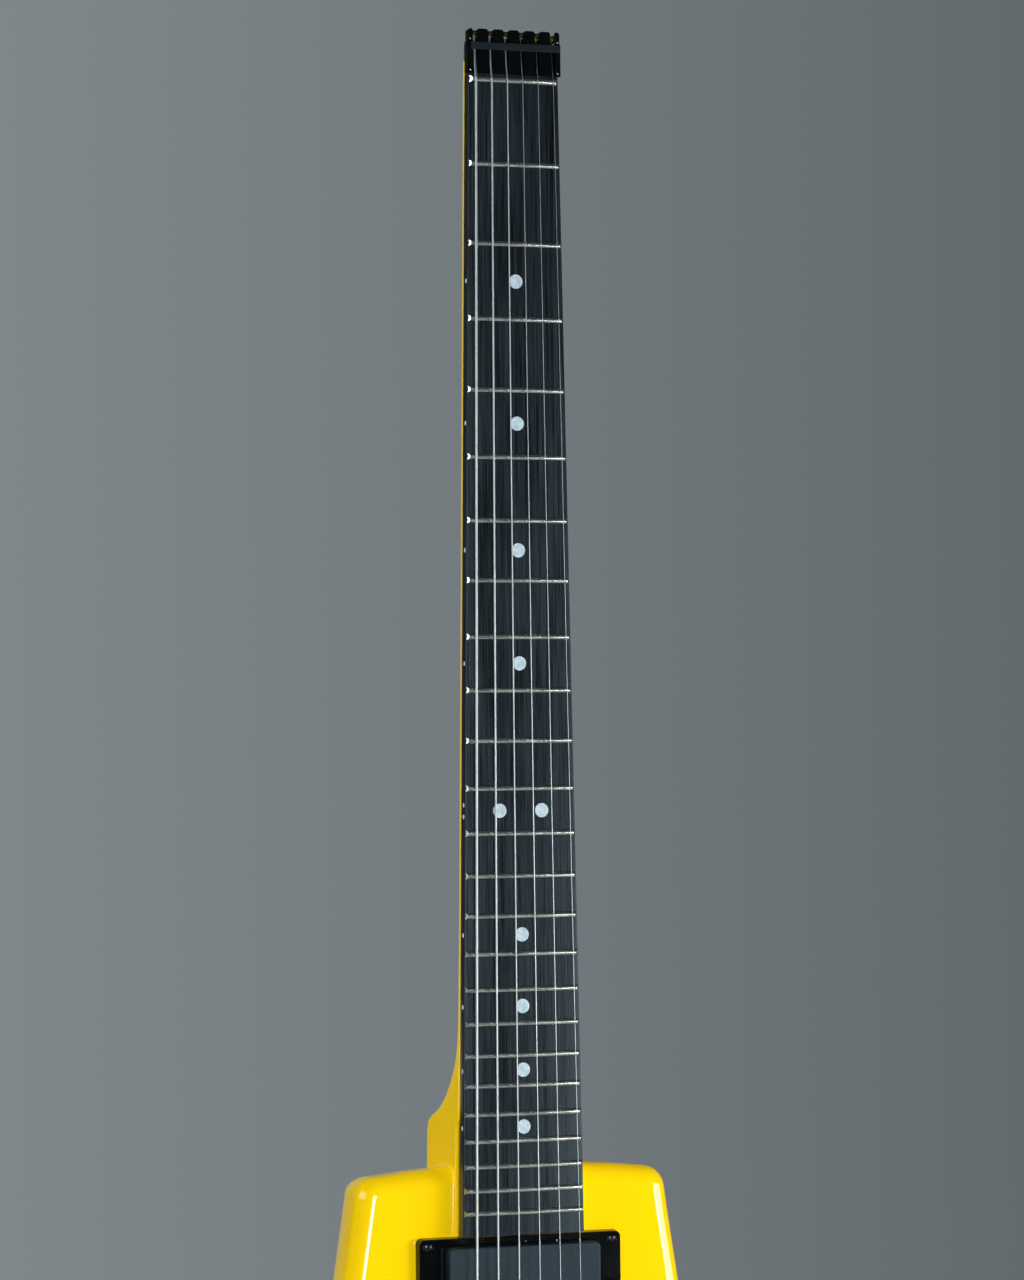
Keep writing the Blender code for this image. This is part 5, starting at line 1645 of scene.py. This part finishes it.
def build_pot(node, z):
    centre = (CONTROL_X, 0, z)
    can = turned(node + "_can", CAN_PROFILE + NECK_THREAD + NECK_END, centre, "Y", 40)
    dress(can, plain_steel, stands_for=(node,), angle=25)
    nut = turned("nut", [(NUT_RADIUS, NUT_BASE_Y - 0.5), (NUT_RADIUS, NUT_TOP_Y)], centre, "Y", 6)
    soften(nut, 0.3)
    washer = [(WASHER_RADIUS, NUT_BASE_Y), (WASHER_RADIUS, NUT_BASE_Y - 0.6)]
    fuse(nut, turned("washer", washer, centre, "Y", 48))
    cut(nut, drill(SHAFT_RADIUS, (-30, -50), centre, "Y", 36))
    nut.name = node + "_nut"
    dress(nut, bright_steel)


print("thread points:", len(NECK_THREAD))

# %% [markdown]
# A knob starts on its shaft, spreads to a skirt, rises through a knurled and slightly tapered grip, and
# ends in a rim around a shallow dish. The white line lies in a groove in that dish, 0.03 mm short of the
# groove's walls.

# %% Knobs
KNOB_BASE_Y, KNOB_TOP_Y = -42.5, -56.5
GRIP_PROFILE = [(2.9, -26, 0), (2.9, KNOB_BASE_Y, 0), (9.0, KNOB_BASE_Y, 0), (9.3, -42.8, 0), (9.4, -43.4, 0),
                (9.4, -44.4, 0), (9.1, -44.8, 0), (9.4, -45.2, 0.3), (9.0, -54.6, 0.3), (8.8, -55.2, 0),
                (8.7, -55.9, 0), (8.2, -56.4, 0), (7.7, KNOB_TOP_Y, 0), (7.2, -56.4, 0), (6.4, -56.0, 0),
                (3.0, -55.85, 0), (0.3, -55.8, 0)]
GROOVE_HALF, GROOVE_RUN, GROOVE_FLOOR_Y = 0.5, (2.5, 6.8), -55.6
LINE_GAP, LINE_Y = 0.03, (-55.55, -56.0)


def build_knob(node, body, z):
    knob = knurled(node + "_grip", GRIP_PROFILE, (CONTROL_X, 0, z), "Y", 48)
    sides = (CONTROL_X - GROOVE_HALF, CONTROL_X + GROOVE_HALF)
    cut(knob, box("groove", sides, (FRONT_OPEN_Y, GROOVE_FLOOR_Y), (z + GROOVE_RUN[0], z + GROOVE_RUN[1])))
    dress(knob, black_metal, body=body, stands_for=(node,), angle=28)
    sides = (sides[0] + LINE_GAP, sides[1] - LINE_GAP)
    line = box(node + "_line", sides, LINE_Y, (z + GROOVE_RUN[0] + LINE_GAP, z + GROOVE_RUN[1] - LINE_GAP))
    dress(line, side_pearl, body=body)


for control, z in (("volume", VOLUME_Z), ("tone", TONE_Z)):
    build_pot(control + "_pot", z)
    build_knob(control + "_knob", control, z)
print("controls: volume and tone")

# %% [markdown]
# The selector's blade tapers through the slot in the body. Its tip is a stack of round-cornered squares:
# the waist follows half a sine, and the last two levels close the top.

# %% Selector
FRAME_X, FRAME_Y, FRAME_HALF = (52, 70), (-31.7, -14), 17
FRAME_ROOM_X, FRAME_ROOM_HALF = (57.5, 64.5), 12
BLADE_HALF = 0.8
TIP_SIZE, TIP_CORNER, TIP_WAIST = (4.6, 6.0), 1.2, 0.22
TIP_LEVELS = [(1 - TIP_WAIST * math.sin(math.pi * k / 13), -42.3 - 0.82 * k) for k in range(11)]
TIP_LEVELS += [(0.88, -51.0), (0.76, -51.4)]
SELECTOR_SCREW_Z = 13.5


def around_selector(half):
    return SELECTOR_Z - half, SELECTOR_Z + half


selector = soften(box("selector_frame", FRAME_X, FRAME_Y, around_selector(FRAME_HALF)), 0.6)
cut(selector, box("room", FRAME_ROOM_X, (FRONT_OPEN_Y, POCKET_Y), around_selector(FRAME_ROOM_HALF)))
dress(selector, plain_steel, stands_for=("selector_switch",))
(low, high), (top_low, top_high) = around_selector(2.2), around_selector(1.4)
blade = [(-24.5, low), (-24.5, high), (-43, top_high), (-43, top_low)]
blade = prism("selector_blade", blade, "X", CONTROL_X - BLADE_HALF, CONTROL_X + BLADE_HALF)
dress(blade, plain_steel, body="selector", stands_for=("selector_lever",), edge=0.2)
levels = []
for share, y in TIP_LEVELS:
    size = [side * share for side in TIP_SIZE]
    outline = rounded_box(size, (CONTROL_X, SELECTOR_Z), TIP_CORNER * share, 6)
    levels.append([(a, y, b) for a, b in outline])
dress(loft("selector_tip", levels), ring_plastic, body="selector", angle=50)
placings = [((CONTROL_X, BODY_FRONT_Y, z), FRONT, 0.5) for z in around_selector(SELECTOR_SCREW_Z)]
dress(copies("selector_screws", screw_head(2.3, 1.1), placings), black_nickel)
print("selector tip levels:", len(levels))

# %% [markdown]
# ## Jack, strap buttons, covers and leg rest
# The jack's barrel stands in the tail under a washer and a nut. Each strap button is turned, with a waist
# for the strap and a countersunk screw, over a felt washer that spares the lacquer. The two back plates
# are let in flush, and six slots in the larger one reach the block. The leg rest folds out of the treble
# side on a long pin.

# %% Jack
JACK_PROFILE = [(7.5, 26), (7.5, -0.3), (10.2, -0.3), (10.5, -0.6), (10.5, -1.0), (10.1, -1.3)]
JACK_BORE = 3.3

jack = turned("jack_barrel", JACK_PROFILE, JACK, "Z", 64)
cut(jack, drill(JACK_BORE, (24, -5), JACK, "Z", 40))
dress(jack, black_metal, stands_for=("output_jack",))
jack_nut = soften(turned("jack_nut", [(8.0, -1.31), (8.0, -2.6)], JACK, "Z", 6), 0.35)
cut(jack_nut, drill(JACK_BORE, (5, -5), JACK, "Z", 40))
dress(jack_nut, bright_steel)
print("jack faces:", len(jack.data.polygons))

# %% [markdown]
# Both strap buttons are one profile, turned once about the tail's axis and once about the back's. Two
# Bezier curves lead from the washer into the waist and from the waist out under the head.

# %% Strap buttons
BUTTON_FOOT = [(5.4, 0.8), (5.5, 1.1), (5.2, 2.0)]
BUTTON_IN = ((5.2, 2.0), (4.0, 3.2), (3.6, 4.0), (3.6, 5.2))
BUTTON_OUT = ((3.6, 8.0), (3.8, 9.6), (6.2, 10.2), (6.5, 11.0))
BUTTON_HEAD = [(6.6, 11.4), (6.6, 12.8), (6.3, 13.5), (5.4, 14.0), (3.4, 14.0), (2.4, 13.0)]
FELT_PROFILE = ((5.5, 0.04), (5.7, 0.4), (5.5, 0.8))
BUTTON_SCREW = 12.95


def build_button(node, centre, axis, away, facing):
    curves = [tuple(p) for p in bezier(*BUTTON_IN, 6)[1:] + bezier(*BUTTON_OUT, 8)]
    profile = [(r, away * height) for r, height in BUTTON_FOOT + curves + BUTTON_HEAD]
    button = turned(node + "_metal", profile, centre, axis, 56)
    dress(button, black_metal, stands_for=(node,))
    washer = turned(node + "_felt", [(r, away * height) for r, height in FELT_PROFILE], centre, axis, 48)
    dress(washer, felt)
    place = Vector(centre) + Vector(facing) * BUTTON_SCREW
    screw = copies(node + "_screw", screw_head(3.0, 0.9), [(place, facing, 0.6)])
    dress(screw, black_nickel)


build_button("strap_button_tail", (-68.0, -19.0, 0.0), "Z", -1, DOWN)
build_button("strap_button_heel", (-16.0, 0.0, 214.0), "Y", 1, BACK)

# %% [markdown]
# A back cover's edges are rounded first. Its slots and countersinks are cut after that, in the order that a
# workshop would take. The screws sit a little under its surface.

# %% Back covers
COVER_Y = (-2.2, 0.0)
COVER_SLOT, SLOT_PITCH, SLOT_Z = (5, 14), 9.0, 90
COUNTERSINK = [(1.0, -1.2), (1.75, 0.05), (1.75, 1)]
COVER_SCREW_Y = -0.65


def build_back_cover(node, size, centre, corner, screws, slots=()):
    cover = soften(prism(node + "_plate", rounded_box(size, centre, corner, 10), "Y", *COVER_Y), 0.3)
    for x in slots:
        cut(cover, prism("slot", rounded_box(COVER_SLOT, (x, SLOT_Z), 2.4, 10), "Y", -9, 9))
    cut(cover, *[turned("sink", COUNTERSINK, (x, 0, z), "Y", 28) for x, z in screws])
    dress(cover, back_plastic, stands_for=(node,))
    placings = [((x, COVER_SCREW_Y, z), BACK, x + z) for x, z in screws]
    dress(copies(node + "_screws", screw_head(1.6, 0.5), placings), black_nickel)
    print(node, "faces:", len(cover.data.polygons))


slots = [string_x(number, SLOT_PITCH) for number in range(1, STRINGS + 1)]
screws = [(x, z) for x in (-34.0, 34.0) for z in (70.5, 131.0, 191.5)]
build_back_cover("spring_cover", (72, 126), SPRING_COVER, 5.7, screws, slots)
screws = [(x, z) for x in (48.9, 73.1) for z in (43.2, 110.0, 176.8)]
build_back_cover("control_cover", (28, 138), CONTROL_COVER, 4.7, screws)

# %% [markdown]
# The leg rest is a bar in its rebate, round on the side where it turns, with three grooves along its face.
# Its pins stand out of both its ends, on the hinge's axis.

# %% Leg rest
LEG_OUTLINE = [(0.0, -27.5, 0.6), (-2.0, -30.0, 1.0), (-5.5, -30.0, 0.8), (-7.0, -28.5, 0.8),
               (-7.0, -9.0, 3.49), (0.0, -9.0, 3.49)]
RIFFLE_YS, RIFFLE_SIZE, RIFFLE_ROUND, RIFFLE_END = (-24.5, -21.0, -17.5), (0.7, 1.3), 0.3, 12
PIN_OUT, PIN_IN, LEG_PIN_RADIUS = 5, 0.2, 1.5

leg = along_leg("leg_rest_bar", rounded(LEG_OUTLINE, 8), 0, 0)
soften(leg, 0.5, angle=60)
riffles = [rounded_box(RIFFLE_SIZE, (0.0, y), RIFFLE_ROUND, 3) for y in RIFFLE_YS]
cut(leg, *[along_leg("riffle", outline, RIFFLE_END, -RIFFLE_END) for outline in riffles])
dress(leg, leg_plastic, body="leg", stands_for=("leg_rest",), angle=40)
pin_paths = ([LEG_LOW - LEG_ALONG * PIN_OUT, LEG_LOW + LEG_ALONG * PIN_IN],
             [LEG_HIGH - LEG_ALONG * PIN_IN, LEG_HIGH + LEG_ALONG * PIN_OUT])
leg_pins = [swept("leg_pin", [p + LEG_HINGE for p in path], LEG_PIN_RADIUS, 28) for path in pin_paths]
dress(joined("leg_rest_pins", leg_pins), bright_steel, body="leg")
print("leg rest faces:", len(leg.data.polygons))

# %% [markdown]
# ## Truss rod
# A steel rod in a slot under the board holds the neck straight against the strings' pull. Only its nut,
# in the open end at the heel, is ever reached with a key.

# %% Truss rod
ROD_X, ROD_Z = (-2.7, 2.7), (246.0, ZERO_Z - 13)
ROD_TOP_Y, ROD_LOW_Y, END_LOW_Y, END_LENGTH = -42.8, -39.6, -34.4, 5
ROD_RADIUS, ROD_AXIS = 2.4, (0, -37.1, 0)
ROD_NUT_PROFILE = [(3.6, 239), (4.0, 239.4), (4.0, 245.99)]

rod = box("truss_rod_steel", ROD_X, (ROD_TOP_Y, ROD_LOW_Y), ROD_Z)
starts = (ROD_Z[0], ROD_Z[1] - END_LENGTH)
ends = [box("end", ROD_X, (ROD_TOP_Y, END_LOW_Y), (z, z + END_LENGTH)) for z in starts]
fuse(rod, *ends, turned("rod", [(ROD_RADIUS, 248), (ROD_RADIUS, ROD_Z[1] - 2)], ROD_AXIS, "Z", 28))
dress(rod, plain_steel, stands_for=("truss_rod",), edge=0.3)
rod_nut = turned("truss_rod_nut", ROD_NUT_PROFILE, ROD_NUT, "Z", 6)
cut(rod_nut, drill(2.2, (236, 243), ROD_NUT, "Z", 6))
dress(rod_nut, bright_steel, edge=0.2)
print("rod faces:", len(rod.data.polygons))

# %% [markdown]
# ## Stage and light
# The guitar stands over a pale floor in a plain studio. A grey backdrop stands behind it, and the rest of
# the room is dim, so glossy black pieces stay black. Two tall soft lamps stand in front, one beside the
# camera and one to the right. They draw the long bright lines along the body's rounded edges, and they
# stand low, so the neck dims a little towards its end.

# %% Floor, room and lamps
BACKDROP_LEFT = (0.215, 0.245, 0.258)
BACKDROP_RIGHT = (0.125, 0.143, 0.153)
STUDIO_COLOUR = (0.050, 0.053, 0.057)
BACKDROP_AHEAD = (0.344, 0.939, 0.0)
BACKDROP_ACROSS = (0.939, -0.344, 0.0)
BACKDROP_EDGE = (0.78, 0.95)
BACKDROP_BLEND = (-0.12, 0.12)
FLOOR_RADIUS, FLOOR_DEPTH, FLOOR_GAP = 0.80 / MM, 10, 0.5
FLOOR_COLOUR = (0.52, 0.52, 0.53)
PAPER_CLOUD, PAPER_CONTRAST = 30.0, 1.06


def build_floor():
    low = cad_box[0].z / MM - FLOOR_GAP
    floor = turned("floor", [(FLOOR_RADIUS, low - FLOOR_DEPTH), (FLOOR_RADIUS, low)], ORIGIN, "Z", 96)
    paper = Finish("floor_paper", FLOOR_COLOUR, 0.9, specular=0.1)
    mottle = paper.noise(PAPER_CLOUD, detail=5.0)
    pale = tuple(part * PAPER_CONTRAST for part in FLOOR_COLOUR)
    paper.put("Base Color", paper.tint(mottle, FLOOR_COLOUR, pale))
    floor.data.materials.append(paper.material)


def lamp(name, place, aim, size, level, mirrored=True):
    """A rectangular lamp, with its level in watts per square metre and steradian. A fill isn't mirrored."""
    data = bpy.data.lights.new(name, "AREA")
    data.shape = "RECTANGLE"
    data.size, data.size_y = size
    data.energy = level * math.pi * size[0] * size[1]
    obj = bpy.data.objects.new(name, data)
    obj.location = place
    obj.rotation_euler = (Vector(aim) - Vector(place)).to_track_quat("-Z", "Y").to_euler()
    obj.visible_glossy = mirrored
    bpy.context.scene.collection.objects.link(obj)


build_floor()
bpy.context.scene.view_settings.view_transform = "Standard"
world = bpy.data.worlds.new("room")
bpy.context.scene.world = world
room = Tree(world, "Background")


def toward(direction):
    """How far a view of the room looks along a direction: 1 is straight at it."""
    values = {0: room.node("TexCoord", output="Generated"), 1: direction}
    return room.node("VectorMath", {"operation": "DOT_PRODUCT"}, values, "Value")


backdrop = room.tint(toward(BACKDROP_ACROSS).between(*BACKDROP_BLEND), BACKDROP_LEFT, BACKDROP_RIGHT)
mixed = {"Factor": toward(BACKDROP_AHEAD).between(*BACKDROP_EDGE), 6: (*STUDIO_COLOUR, 1.0), 7: backdrop}
room.put("Color", room.node("Mix", {"data_type": "RGBA"}, mixed, 2))

# %% [markdown]
# The lamps' faces are what the lacquer and the board mirror, so each one's place, size and level was set
# by the highlight that it makes in the photograph: the stripes along the body's two long rounds, the
# sheen that grows along the board, and the pale side of the body. The one behind only fills, and no
# surface mirrors it.

# %% Lamps
lamp("lamp_beside_camera", (-0.33, -1.63, 0.37), (0.0, 0.0, 0.20), (0.50, 0.58), 19.0)
lamp("lamp_right", (1.21, -0.85, 0.29), (0.0, 0.0, 0.18), (0.98, 0.42), 10.5)
lamp("lamp_low_right", (0.99, -1.40, 0.01), (0.0, 0.0, 0.24), (0.34, 0.26), 17.0)
lamp("lamp_left", (-2.0, 0.0, 1.00), (0.0, 0.0, 0.60), (1.8, 1.16), 3.0)
lamp("lamp_behind", (-0.9, 1.6, 1.9), (0.0, 0.0, 0.40), (1.4, 1.4), 5.0, mirrored=False)
print("lamps:", len(bpy.data.lights))
